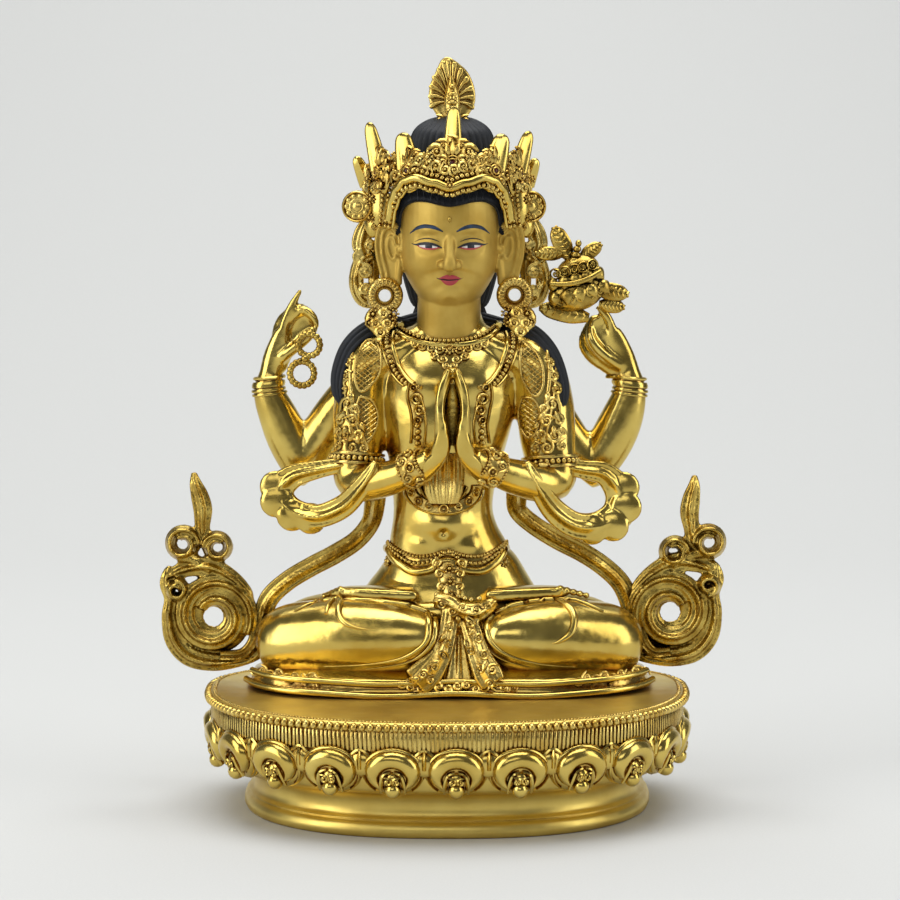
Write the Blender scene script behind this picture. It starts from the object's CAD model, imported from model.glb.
import random
from math import atan2, copysign, cos, pi, radians, sin

import bmesh
import bpy
import numpy as np
from mathutils import Matrix, Vector
from mathutils.bvhtree import BVHTree


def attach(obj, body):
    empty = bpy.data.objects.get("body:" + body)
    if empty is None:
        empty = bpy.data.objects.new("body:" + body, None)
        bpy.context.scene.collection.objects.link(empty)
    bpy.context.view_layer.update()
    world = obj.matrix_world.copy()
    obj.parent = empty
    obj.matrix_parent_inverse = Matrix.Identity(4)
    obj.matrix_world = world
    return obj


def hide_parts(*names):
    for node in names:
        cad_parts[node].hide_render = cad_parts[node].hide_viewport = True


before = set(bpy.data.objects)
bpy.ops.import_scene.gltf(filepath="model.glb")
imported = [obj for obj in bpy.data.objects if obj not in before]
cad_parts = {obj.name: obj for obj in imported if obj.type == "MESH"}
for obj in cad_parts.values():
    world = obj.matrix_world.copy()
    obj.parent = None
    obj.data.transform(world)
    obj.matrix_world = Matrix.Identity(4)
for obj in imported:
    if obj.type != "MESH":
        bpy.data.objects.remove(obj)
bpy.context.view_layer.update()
dice = random.Random(11)

# Gilded seated Avalokiteshvara on a lotus throne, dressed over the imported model.
# Shapes are drawn in millimetres: the throne from the floor, the figure from the throne's plate.

plateHeight = 34.5
midline = 0.8
fromFloor = Matrix.Scale(0.001, 4)
fromPlate = Matrix.Translation((0, 0, plateHeight * 0.001)) @ Matrix.Scale(0.001, 4)
front = Vector((0, -1, 0))
upward = Vector((0, 0, 1))
out = Vector((0, 0, 1))  # templates lie in XY and face +Z


# Shapes

def mix(a, b, share):
    return a + (b - a) * share


def smoothPath(stations, steps):
    ends = [stations[0]] + list(stations) + [stations[-1]]
    points = []
    for i in range(1, len(ends) - 2):
        for k in range(steps):
            t = k / steps
            points.append([
                0.5 * (2 * b + (c - a) * t + (2 * a - 5 * b + 4 * c - d) * t * t
                       + (3 * b - a - 3 * c + d) * t ** 3)
                for a, b, c, d in zip(ends[i - 1], ends[i], ends[i + 1], ends[i + 2])
            ])
    return points + [list(stations[-1])]


def crossFrame(middle, along, facing, width, depth):
    side = along.cross(facing).normalized()
    up = side.cross(along).normalized()
    turn = Matrix((side * width, up * depth, along)).transposed().to_4x4()
    return Matrix.Translation(middle) @ turn


def grow(ring, moves):
    loops = [ring.edges[:]]
    for move in moves:
        made = bmesh.ops.extrude_edge_only(ring, edges=loops[-1])
        points = pointsOf(made)
        bmesh.ops.transform(ring, matrix=move, verts=points)
        far = set(points)
        loops.append([e for e in made["geom"] if isinstance(e, bmesh.types.BMEdge) and far.issuperset(e.verts)])
    bmesh.ops.edgeloop_fill(ring, edges=loops[0])
    bmesh.ops.edgeloop_fill(ring, edges=loops[-1])
    bmesh.ops.recalc_face_normals(ring, faces=ring.faces)
    return ring


def loft(stations, facing=front, sides=12, steps=4, outline=None):
    # stations are x, y, z, half width, half depth, and may end with their own facing
    found = smoothPath(stations, steps) if steps > 1 else [list(s) for s in stations]
    rows = found[:1]
    for row in found[1:]:
        if (Vector(row[:3]) - Vector(rows[-1][:3])).length > 0.02:
            rows.append(row)
    middles = [Vector(row[:3]) for row in rows]
    frames = []
    for i, row in enumerate(rows):
        along = (middles[min(i + 1, len(rows) - 1)] - middles[max(i - 1, 0)]).normalized()
        toward = Vector(row[5:8]) if len(row) >= 8 else Vector(facing)
        if along.cross(toward).length < 0.05:
            toward = toward + Vector((0.31, 0.17, 0.23))
        frames.append(crossFrame(middles[i], along, toward, max(row[3], 0.02), max(row[4], 0.02)))
    ring = bmesh.new()
    points = bmesh.ops.create_circle(ring, segments=sides, radius=1.0)["verts"]
    if outline:
        for point in points:
            point.co = Vector((*outline(atan2(point.co.y, point.co.x)), 0))
    bmesh.ops.transform(ring, matrix=frames[0], verts=ring.verts)
    return grow(ring, [new @ old.inverted() for old, new in zip(frames, frames[1:])])


def ridged(count, depth):
    # a ribbon's cross section with ridges running along it
    def outline(angle):
        x = cos(angle)
        return x, sin(angle) * (1 + depth * cos(count * pi * x))
    return outline


def roof(angle):
    # a leaf's cross section, high along the middle
    x = cos(angle)
    return x, copysign(abs(sin(angle)) ** 1.6, sin(angle))


def box2(angle):
    # a flat band's cross section with soft corners
    c, s = cos(angle), sin(angle)
    return copysign(abs(c) ** 0.5, c), copysign(abs(s) ** 0.7, s)


def slide(x, y, z):
    return Matrix.Translation((x, y, z))


def turned(degrees, axis):
    return Matrix.Rotation(radians(degrees), 4, axis)


def pointsOf(made):
    return [g for g in made["geom"] if isinstance(g, bmesh.types.BMVert)]


def ball(middle, radii, turns=(0, 0, 0), sides=12):
    shape = bmesh.new()
    bmesh.ops.create_uvsphere(shape, u_segments=sides, v_segments=max(4, sides // 2 + 1), radius=1.0)
    bmesh.ops.scale(shape, vec=Vector(radii), verts=shape.verts)
    for degrees, axis in zip(turns, "XYZ"):
        if degrees:
            bmesh.ops.rotate(shape, cent=(0, 0, 0), matrix=Matrix.Rotation(radians(degrees), 3, axis),
                             verts=shape.verts)
    bmesh.ops.translate(shape, vec=Vector(middle), verts=shape.verts)
    return shape


def moved(shapes, matrix, copies=False):
    # the shapes put in place by a matrix; the given ones stay as templates
    made = []
    for shape in shapes:
        new = shape.copy() if copies else shape
        bmesh.ops.transform(new, matrix=matrix, verts=new.verts)
        if matrix.determinant() < 0:
            bmesh.ops.reverse_faces(new, faces=new.faces)
        made.append(new)
    return made


def merged(shapes):
    whole = bmesh.new()
    for shape in shapes:
        mesh = bpy.data.meshes.new("shape")
        shape.to_mesh(mesh)
        shape.free()
        whole.from_mesh(mesh)
        bpy.data.meshes.remove(mesh)
    return whole


# Templates, in XY, facing +Z

def hoop(reach, thick, high=None, sides=8, rounds=20, stretch=1.0):
    ring = bmesh.new()
    bmesh.ops.create_circle(ring, segments=sides, radius=1.0)
    bmesh.ops.transform(ring, matrix=Matrix.Diagonal((thick, high or thick, 1, 1)), verts=ring.verts)
    bmesh.ops.rotate(ring, cent=(0, 0, 0), matrix=Matrix.Rotation(radians(90), 3, "X"), verts=ring.verts)
    bmesh.ops.translate(ring, vec=(reach, 0, 0), verts=ring.verts)
    bmesh.ops.spin(ring, geom=ring.verts[:] + ring.edges[:], cent=(0, 0, 0), axis=(0, 0, 1), dvec=(0, 0, 0),
                   angle=2 * pi, steps=rounds)
    bmesh.ops.remove_doubles(ring, verts=ring.verts, dist=1e-4)
    bmesh.ops.scale(ring, vec=(1, stretch, 1), verts=ring.verts)
    bmesh.ops.recalc_face_normals(ring, faces=ring.faces)
    return ring


def swirl(radius, turns=1.35, thick=0.42, start=0, hand=1, sides=6, tail=0.0):
    # a scroll that winds in to a small ball at its eye; start is in degrees
    eye = 0.3
    start = radians(start)
    count = max(8, int(turns * 11))
    stations = []
    if tail:
        begin = Vector((cos(start), sin(start), 0))
        back = Vector((sin(start), -cos(start), 0)) * hand
        stations.append((*(begin * radius * 1.15 + back * tail), thick * 0.25, thick * 0.3))
        stations.append((*(begin * radius * 1.05 + back * tail * 0.5), thick * 0.7, thick * 0.8))
    for i in range(count + 1):
        share = i / count
        angle = start + hand * turns * 2 * pi * share
        reach = radius * mix(1.0, eye, share ** 0.8)
        swell = thick * (0.62 + 0.38 * sin(pi * min(1, share + 0.2)))
        stations.append((reach * cos(angle), reach * sin(angle), thick * 0.3 * share, swell, swell * 1.15))
    middle = ball((0, 0, thick * 0.3), (radius * eye * 0.9,) * 2 + (thick * 1.15,), sides=8)
    return [loft(stations, facing=out, sides=sides, steps=1), middle]


def leaf(length, width, high, bend=0.0):
    # a leaf from the origin up Y, curling aside by bend
    stations = [(0, 0, 0, width * 0.5, high * 0.6), (bend * 0.12, length * 0.3, high * 0.25, width, high),
                (bend * 0.45, length * 0.66, high * 0.3, width * 0.74, high * 0.85),
                (bend, length, high * 0.1, width * 0.12, high * 0.3)]
    return loft(stations, facing=out, sides=8, steps=3, outline=roof)


def rosette(radius, petals=8, high=0.5):
    # a jewel in a ring, with beads round it
    shapes = [ball((0, 0, high * 0.5), (radius * 0.36, radius * 0.36, high), sides=8),
              hoop(radius * 0.52, radius * 0.13, high * 0.55, sides=6, rounds=12)]
    for i in range(petals):
        angle = 2 * pi * i / petals
        shapes.append(ball((radius * 0.8 * cos(angle), radius * 0.8 * sin(angle), 0),
                           (radius * 0.25, radius * 0.25, high * 0.8), sides=6))
    return shapes


def standing(x, y, z, spin=0.0, lean=0.0, size=1.0, yaw=0.0):
    # puts a template upright, facing the viewer: yaw turns it round the body, lean tips its top back
    return (slide(x, y, z) @ turned(yaw, "Z")
            @ turned(90 + lean, "X") @ turned(spin, "Z")
            @ Matrix.Scale(size, 4))


# Fusing, and ornament that follows a surface

def newObject(name, data):
    obj = bpy.data.objects.new(name, data)
    bpy.context.scene.collection.objects.link(obj)
    return obj


def worked(mesh, modifiers):
    # applies modifiers to a mesh and gives back the result
    obj = newObject("working", mesh)
    for kind, values in modifiers:
        modifier = obj.modifiers.new(kind.lower(), kind)
        for key, value in values.items():
            setattr(modifier, key, value)
    graph = bpy.context.evaluated_depsgraph_get()
    made = bpy.data.meshes.new_from_object(obj.evaluated_get(graph))
    bpy.data.objects.remove(obj, do_unlink=True)
    bpy.data.meshes.remove(mesh)
    return made


def thinned(mesh, keep):
    return worked(mesh, [("DECIMATE", {"ratio": keep})])


def fused(shapes, grain, rounds=3):
    # one casting from overlapping shapes; grain in millimetres
    return worked(plain(shapes), [("REMESH", {"mode": "VOXEL", "voxel_size": grain}),
                                  ("SMOOTH", {"factor": 0.5, "iterations": rounds})])


def plain(shapes):
    mesh = bpy.data.meshes.new("plain")
    whole = merged(shapes)
    whole.to_mesh(mesh)
    whole.free()
    return mesh


def treeOf(*meshes):
    whole = bmesh.new()
    for mesh in meshes:
        whole.from_mesh(mesh)
    tree = BVHTree.FromBMesh(whole)
    whole.free()
    return tree


def pushed(mesh, moves):
    # soft sculpting: each move is a middle, the radii it reaches, and how far it pushes
    points = np.empty(len(mesh.vertices) * 3)
    mesh.vertices.foreach_get("co", points)
    points = points.reshape(-1, 3)
    for middle, radii, push in moves:
        away = (((points - np.array(middle)) / np.array(radii)) ** 2).sum(axis=1)
        share = np.clip(1 - away, 0, 1) ** 2
        points += share[:, None] * np.array(push)
    mesh.vertices.foreach_set("co", points.ravel())
    mesh.update()
    return mesh


def touch(tree, origin, toward):
    # where a line meets the surface, or comes nearest to it, and the way the surface faces there
    origin, toward = Vector(origin), Vector(toward).normalized()
    spot, normal, _, _ = tree.ray_cast(origin, toward)
    if spot is None:
        tries = [tree.find_nearest(origin + toward * k * 3.0) for k in range(60)]
        spot, normal, _, _ = min(tries, key=lambda found: found[3])
    if normal.dot(toward) > 0:
        normal = -normal
    return spot, normal


def fromFront(tree, x, z):
    return touch(tree, (x, -120, z), (0, 1, 0))


def onSkin(tree, x, z, spin=0.0, lift=0.0, flat=0.0):
    # the matrix that lays a template on the surface seen from the front; flat turns it back towards the
    # viewer
    spot, normal = fromFront(tree, x, z)
    return laid(spot, normal.lerp(front, flat), spin, lift)


def laid(spot, normal, spin=0.0, lift=0.0, up=upward):
    normal = normal.normalized()
    side = up.cross(normal).normalized()
    rise = normal.cross(side).normalized()
    turn = Matrix((side, rise, normal)).transposed().to_4x4()
    return Matrix.Translation(spot + normal * lift) @ turn @ turned(spin, "Z")


def scrollsOn(tree, rows, turns=1.35, thick=0.42, tail=1.0, lift=0.25, flat=0.0):
    # scrolls laid on a surface; a row is x, z, size, the angle that it starts at, and its hand
    made = []
    for x, z, size, spin, hand in rows:
        made += moved(swirl(size, turns, thick, spin, hand, tail=size * tail),
                      onSkin(tree, x, z, lift=lift, flat=flat))
    return made


def skinPath(tree, points, lift=0.0, steps=5):
    # a smooth line of (x, z) or (x, z, width, depth) points laid on the surface: place and facing of each
    found = []
    for row in smoothPath(points, steps):
        spot, normal = fromFront(tree, row[0], row[1])
        normal = normal.normalized()
        found.append((spot + normal * lift, normal, row[2:]))
    for _ in range(2):  # evens out the facing where the surface is lumpy
        normals = [n for _, n, _ in found]
        found = [(p, (normals[max(i - 1, 0)] + n + normals[min(i + 1, len(found) - 1)]).normalized(), r)
                 for i, (p, n, r) in enumerate(found)]
    return found


def cordOn(tree, points, width, depth, lift=0.0, steps=5, sides=8, outline=None, taper=False):
    path = skinPath(tree, points, lift, steps)
    rows = []
    for i, (spot, normal, rest) in enumerate(path):
        swell = 1.0
        if taper:
            share = i / (len(path) - 1)
            swell = max(0.12, sin(pi * mix(0.12, 1.0, share)))
        wide, high = (rest[0], rest[1]) if len(rest) > 1 else (width, depth)
        rows.append((*spot, wide * swell, high * swell, *normal))
    return loft(rows, sides=sides, steps=1, outline=outline)


def stringBeads(spots, radius, pitch):
    # beads threaded on a line of 3-D points, a pitch apart
    shape = bmesh.new()
    walked, due = 0.0, 0.0
    for a, b in zip(spots, spots[1:]):
        length = (b - a).length
        while due <= walked + length and length > 0:
            spot = a.lerp(b, (due - walked) / length)
            turn = (b - a).normalized().to_track_quat("X", "Z").to_matrix().to_4x4()
            bmesh.ops.create_uvsphere(shape, u_segments=8, v_segments=6, radius=radius,
                                      matrix=Matrix.Translation(spot) @ turn)
            due += pitch
        walked += length
    return shape


def beadsOn(tree, points, radius, pitch, lift=0.0):
    return stringBeads([spot for spot, _, _ in skinPath(tree, points, lift)], radius, pitch)


def around(tree, middle, axis, reach=14.0, count=36):
    # points and facings on the surface all the way round a limb
    axis = Vector(axis).normalized()
    side = axis.cross(Vector((0, 1, 0))).normalized()
    other = axis.cross(side)
    found = []
    for i in range(count + 1):
        angle = radians(mix(0.0, 360.0, i / count))
        away = side * cos(angle) + other * sin(angle)
        found.append(touch(tree, Vector(middle) + away * reach, -away))
    return found


def bandRound(tree, middle, axis, width, depth, lift=0.1, reach=14.0, count=36):
    # a closed band round a limb
    found = around(tree, middle, axis, reach, count)
    rows = [(*(spot + normal * lift), width, depth, *normal) for spot, normal in found]
    return loft(rows, sides=8, steps=1, outline=box2)


def beadsRound(tree, middle, axis, radius, pitch, lift=0.3, reach=14.0, count=48):
    found = around(tree, middle, axis, reach, count)
    return stringBeads([spot + normal * lift for spot, normal in found], radius, pitch)


# Materials

def linear(code):
    # an sRGB hex colour as Blender's linear numbers
    parts = [int(code[i:i + 2], 16) / 255 for i in (0, 2, 4)]
    return (*[p / 12.92 if p <= 0.04045 else ((p + 0.055) / 1.055) ** 2.4 for p in parts], 1.0)


def setInputs(tree, node, values):
    # a number or colour is set on the socket, and another node's output is linked to it
    for key, value in values.items():
        if isinstance(value, bpy.types.NodeSocket):
            tree.links.new(value, node.inputs[key])
        else:
            node.inputs[key].default_value = value


def addNode(tree, kind, values, **settings):
    node = tree.nodes.new(kind)
    for key, value in settings.items():
        setattr(node, key, value)
    setInputs(tree, node, values)
    return node


def newMaterial(name):
    material = bpy.data.materials.new(name)
    material.use_nodes = True
    tree = material.node_tree
    shader = tree.nodes["Principled BSDF"]
    coords = addNode(tree, "ShaderNodeTexCoord", {}).outputs["Object"]
    return material, tree, shader, coords


def noise(tree, coords, size, detail=3.0, roughness=0.5):
    # cloudy variation; size is in millimetres
    return addNode(tree, "ShaderNodeTexNoise", {"Vector": coords, "Scale": 1000.0 / size, "Detail": detail,
                                                "Roughness": roughness}).outputs["Fac"]


def ramp(tree, value, stops):
    node = addNode(tree, "ShaderNodeValToRGB", {"Fac": value})
    for i, (place, colour) in enumerate(stops):
        element = node.color_ramp.elements[i] if i < 2 else node.color_ramp.elements.new(place)
        element.position = place
        element.color = colour
    return node.outputs["Color"]


def blended(tree, share, a, b):
    return addNode(tree, "ShaderNodeMix", {0: share, 6: a, 7: b}, data_type="RGBA").outputs[2]


def scaled(tree, value, low, high):
    # spreads the middle of a noise between two values
    return addNode(tree, "ShaderNodeMapRange", {"Value": value, "From Min": 0.3, "From Max": 0.7,
                                                "To Min": low, "To Max": high}).outputs["Result"]


def mottled(tree, coords, size, colour, other, detail=4.0):
    # two colours in soft clouds; size is in millimetres
    cloud = scaled(tree, noise(tree, coords, size, detail), 0.0, 1.0)
    return blended(tree, cloud, linear(colour), linear(other))


def bumped(tree, height, strength, distance, under=None):
    values = {"Height": height, "Strength": strength, "Distance": distance}
    if under:
        values["Normal"] = under
    return addNode(tree, "ShaderNodeBump", values).outputs["Normal"]


def gilding(name, look):
    # fire gilding over copper: bright metal, with reddish brown left in the hollows
    material, tree, shader, coords = newMaterial(name)
    metal = mottled(tree, coords, look["cloudSize"], look["gold"], look["deepGold"])
    hollow = addNode(tree, "ShaderNodeAmbientOcclusion", {"Distance": look["hollowReach"] * 0.001},
                     samples=8, only_local=False).outputs["AO"]
    kept = ramp(tree, hollow, [(look["hollowFrom"], (1, 1, 1, 1)), (look["hollowTo"], (0, 0, 0, 1))])
    stain = scaled(tree, noise(tree, coords, look["stainSize"]), look["stainLow"], look["stainHigh"])
    share = addNode(tree, "ShaderNodeMath", {0: kept, 1: stain}, operation="MULTIPLY").outputs[0]
    rub = noise(tree, coords, look["rubSize"], 5.0, 0.6)
    dents = bumped(tree, noise(tree, coords, look["dentSize"], 2.0), look["dentDepth"], 0.001)
    grain = noise(tree, coords, look["grainSize"])
    setInputs(tree, shader, {
        "Base Color": blended(tree, share, metal, linear(look["patina"])), "Metallic": 1.0,
        "Roughness": scaled(tree, rub, look["roughLow"], look["roughHigh"]),
        "Normal": bumped(tree, grain, look["grainDepth"], 0.0002, dents),
    })
    return material


burnished = {  # the polished skin: clear reflections, slightly uneven from the hammer and the agate
    "gold": "e0c76e", "deepGold": "c5a74f", "patina": "7a3612", "cloudSize": 14.0, "stainSize": 5.0,
    "hollowReach": 2.8, "hollowFrom": 0.20, "hollowTo": 0.86, "stainLow": 0.45, "stainHigh": 0.95,
    "rubSize": 6.0, "roughLow": 0.15, "roughHigh": 0.27,
    "dentSize": 6.5, "dentDepth": 0.20, "grainSize": 0.5, "grainDepth": 0.06,
}
brushed = {  # the throne's plate and walls: the same gold, left duller by the scraper
    "gold": "e0c76e", "deepGold": "cdb05a", "patina": "7e3c16", "cloudSize": 12.0, "stainSize": 6.0,
    "hollowReach": 1.2, "hollowFrom": 0.14, "hollowTo": 0.66, "stainLow": 0.1, "stainHigh": 0.5,
    "rubSize": 5.0, "roughLow": 0.34, "roughHigh": 0.44,
    "dentSize": 9.0, "dentDepth": 0.10, "grainSize": 0.5, "grainDepth": 0.03,
}


chased = {  # chased ornament: the same gold, dull and reddish brown between the raised lines
    "gold": "e6cd78", "deepGold": "c39f48", "patina": "6c2e10", "cloudSize": 8.0, "stainSize": 3.0,
    "hollowReach": 1.3, "hollowFrom": 0.18, "hollowTo": 0.86, "stainLow": 0.8, "stainHigh": 1.0,
    "rubSize": 2.5, "roughLow": 0.20, "roughHigh": 0.34,
    "dentSize": 1.6, "dentDepth": 0.10, "grainSize": 0.35, "grainDepth": 0.10,
}
antique = {  # the scarf ends, lotus and rosary: bright ridges over darker, browner gilding
    "gold": "d8bc62", "deepGold": "97762c", "patina": "2a1707", "cloudSize": 6.0, "stainSize": 2.5,
    "hollowReach": 2.4, "hollowFrom": 0.30, "hollowTo": 0.94, "stainLow": 0.8, "stainHigh": 1.0,
    "rubSize": 2.0, "roughLow": 0.17, "roughHigh": 0.34,
    "dentSize": 1.8, "dentDepth": 0.20, "grainSize": 0.35, "grainDepth": 0.14,
}


def bezel(radius, high=0.6):
    # a ring with a deep dark hole and a small stone in it
    return [hoop(radius * 0.72, radius * 0.27, high, rounds=18),
            ball((0, 0, -0.1), (radius * 0.34, radius * 0.34, high * 0.55), sides=8)]


def coldGold():
    # gold paint on the face and neck: satin, with the faint grain of powdered gold in glue
    look = {"paint": "cfb058", "thin": "b8963f", "cloudSize": 9.0, "grainSize": 0.18, "rough": 0.5}
    material, tree, shader, coords = newMaterial("cold_gold_paint")
    grain = noise(tree, coords, look["grainSize"])
    setInputs(tree, shader, {
        "Base Color": mottled(tree, coords, look["cloudSize"], look["paint"], look["thin"], 3.0),
        "Metallic": 0.7, "Roughness": scaled(tree, grain, look["rough"] - 0.05, look["rough"] + 0.07),
        "Normal": bumped(tree, grain, 0.12, 0.0001),
    })
    return material


def mineralPaint(name, colour, worn, rough, size=1.2):
    # ground mineral colour in glue: matt, a little uneven where the brush ran dry
    material, tree, shader, coords = newMaterial(name)
    setInputs(tree, shader, {
        "Base Color": mottled(tree, coords, size, colour, worn), "Roughness": rough,
        "Normal": bumped(tree, noise(tree, coords, 0.25, 2.0), 0.15, 0.0001),
    })
    return material


def setGlass(name, colour, deep):
    # a small cabochon of dark red glass over foil
    material, tree, shader, coords = newMaterial(name)
    setInputs(tree, shader, {"Base Color": mottled(tree, coords, 0.8, colour, deep, 2.0),
                             "Roughness": 0.12, "IOR": 1.52})
    return material


bright = gilding("burnished_fire_gilding", burnished)
relief = gilding("chased_gilding", chased)
aged = gilding("antiqued_gilding", antique)
facePaint = coldGold()
hairPaint = mineralPaint("indigo_hair_paint", "0a0e13", "141a22", 0.62)
browPaint = mineralPaint("azurite_brow_paint", "0d3558", "0a1724", 0.5, 2.0)
linePaint = mineralPaint("soot_line_paint", "141418", "1f1e22", 0.5)
eyePaint = mineralPaint("shell_white_paint", "efece4", "dcd9d2", 0.4)
redPaint = mineralPaint("cinnabar_paint", "b8434a", "a5333c", 0.45)
lidPaint = mineralPaint("madder_lid_paint", "c4564f", "a83c3c", 0.45)
irisPaint = mineralPaint("indigo_iris_paint", "20303f", "16222e", 0.35)
garnet = setGlass("garnet_glass", "5a0f10", "2c0506")


# Putting pieces in the scene

sharpFrom = 50  # degrees: edges folded more than this stay crisp


def addPiece(name, shapes, material, node="figure", place=fromPlate):
    # shapes is a list of bmeshes, or a mesh that is already fused
    mesh = plain(shapes) if isinstance(shapes, list) else shapes
    mesh.transform(place)
    mesh.materials.clear()
    mesh.materials.append(material)
    mesh.shade_smooth()
    mesh.set_sharp_from_angle(angle=radians(sharpFrom))
    obj = newObject(name, mesh)
    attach(obj, "root")
    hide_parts(node)
    print("piece", name, sum(len(p.vertices) - 2 for p in mesh.polygons), "triangles")


# The throne

throne = {
    "frontShare": 0.93, "backShare": 0.54, "planPower": 2.4,  # the plan: squared ellipse, shallower behind
    "plateReach": 70.2, "wallReach": 67.2, "sides": 288,
    "petals": 22, "petalShift": 0.15, "petalFoot": 14.2, "petalLean": 15,
    "beadPitch": 2.32, "barPitch": 1.26, "barFoot": 26.4,
}


def planPoint(reach, angle):
    c, s = cos(angle), sin(angle)
    share = throne["backShare"] if s > 0 else throne["frontShare"]
    power = 2 / throne["planPower"]
    return Vector((reach * copysign(abs(c) ** power, c), reach * share * copysign(abs(s) ** power, s), 0))


def alongPlan(reach, count, offset=0):
    # evenly spaced points round the plan, from the middle of the front, each with its outward direction
    fine = 1440
    trace = [planPoint(reach, 2 * pi * i / fine - pi / 2) for i in range(fine + 1)]
    lengths = [0]
    for a, b in zip(trace, trace[1:]):
        lengths.append(lengths[-1] + (b - a).length)
    found = []
    for k in range(count):
        want = lengths[-1] * ((k + offset) % count) / count
        i = max(0, min(int(np.searchsorted(lengths, want)) - 1, fine - 1))
        share = (want - lengths[i]) / (lengths[i + 1] - lengths[i])
        along = (trace[(i + 2) % fine] - trace[(i - 1) % fine]).normalized()
        found.append((trace[i].lerp(trace[i + 1], share), Vector((along.y, -along.x, 0))))
    return found


def perimeter(reach):
    trace = [planPoint(reach, 2 * pi * i / 720) for i in range(721)]
    return sum((b - a).length for a, b in zip(trace, trace[1:]))


def stackMoves(profile):
    # from each (reach, height) row of a profile to the next
    return [slide(0, 0, high - low) @ Matrix.Diagonal((wider / reach,) * 2 + (1, 1))
            for (reach, low), (wider, high) in zip(profile, profile[1:])]


def planStack(profile, sides):
    # a stack of mouldings: (reach, height) rows carried round the plan
    ring = bmesh.new()
    points = bmesh.ops.create_circle(ring, segments=sides, radius=1.0)["verts"]
    reach, low = profile[0]
    for point, (spot, _) in zip(points, alongPlan(reach, sides)):
        point.co = spot + Vector((0, 0, low))
    return grow(ring, stackMoves(profile))


def wallMatrix(spot, outward, height, lean=0):
    # lays a template on the throne's wall: its up goes up the wall, its top leaning out
    turn = Matrix.Rotation(atan2(outward.y, outward.x) + pi / 2, 4, "Z")
    return (Matrix.Translation(spot + Vector((0, 0, height))) @ turn
            @ turned(90 + lean, "X"))


def horseshoe(reach, tall, middle, width, depth, level, first=-52, last=232, sides=10, count=22):
    # an arch open below, in XY, its ends running to points
    rows = []
    for i in range(count + 1):
        share = i / count
        angle = radians(mix(first, last, share))
        swell = min(1, 0.18 + 3.2 * min(share, 1 - share))
        rows.append((reach * cos(angle), middle + tall * sin(angle), level, width * swell,
                     depth * (0.5 + 0.5 * swell)))
    return loft(rows, facing=out, sides=sides, steps=1)


dull = gilding("scraped_fire_gilding", brushed)


def petalTemplate():
    # a fat open ring over a domed petal, and the jewelled bud that hangs in it
    shapes = [ball((0, 6.7, -0.2), (8.9, 7.5, 3.2), sides=20)]
    shapes.append(horseshoe(8.3, 7, 6.7, 0.6, 0.8, 1.1, sides=8))
    shapes.append(horseshoe(5.4, 4.6, 6.5, 2.7, 2.8, 1.6, first=-62, last=242, sides=14, count=20))
    shapes.append(ball((0, 2.4, 3), (2.4, 2.5, 2.5)))
    shapes.append(ball((0, 5.6, 2.4), (2.5, 2.4, 2.1)))
    for hand in (-1, 1):
        shapes += moved(swirl(1.15, 1.1, 0.42, 90, hand, tail=1, sides=5),
                        slide(hand * 1.2, 5.4, 4.4))
        shapes.append(loft([(hand * 0.5, 7.9, 3.4, 0.35, 0.5), (hand * 2.3, 7.2, 3.8, 0.5, 0.6),
                            (hand * 3.1, 4.6, 3.6, 0.6, 0.7), (hand * 3.3, 1.2, 2.6, 0.35, 0.5)],
                           facing=out, sides=6, steps=3))
    return shapes


def tipTemplate():
    # the rounded tip of the row behind, seen between two petals
    shapes = [ball((0, 0, 0), (4, 4, 2.2), sides=14)]
    shapes.append(loft([(-3.5, -1.4, 0.6, 0.3, 0.5), (-3, 1.9, 0.9, 0.5, 0.6), (0, 4.3, 1, 0.55, 0.6),
                        (3, 1.9, 0.9, 0.5, 0.6), (3.5, -1.4, 0.6, 0.3, 0.5)], facing=out, sides=6, steps=3))
    shapes.append(loft([(0, -1, 2, 0.6, 0.7), (0, 2, 1.9, 0.7, 0.8), (0, 4, 1.2, 0.3, 0.5)], facing=out,
                       sides=8, steps=2, outline=roof))
    return shapes


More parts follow.
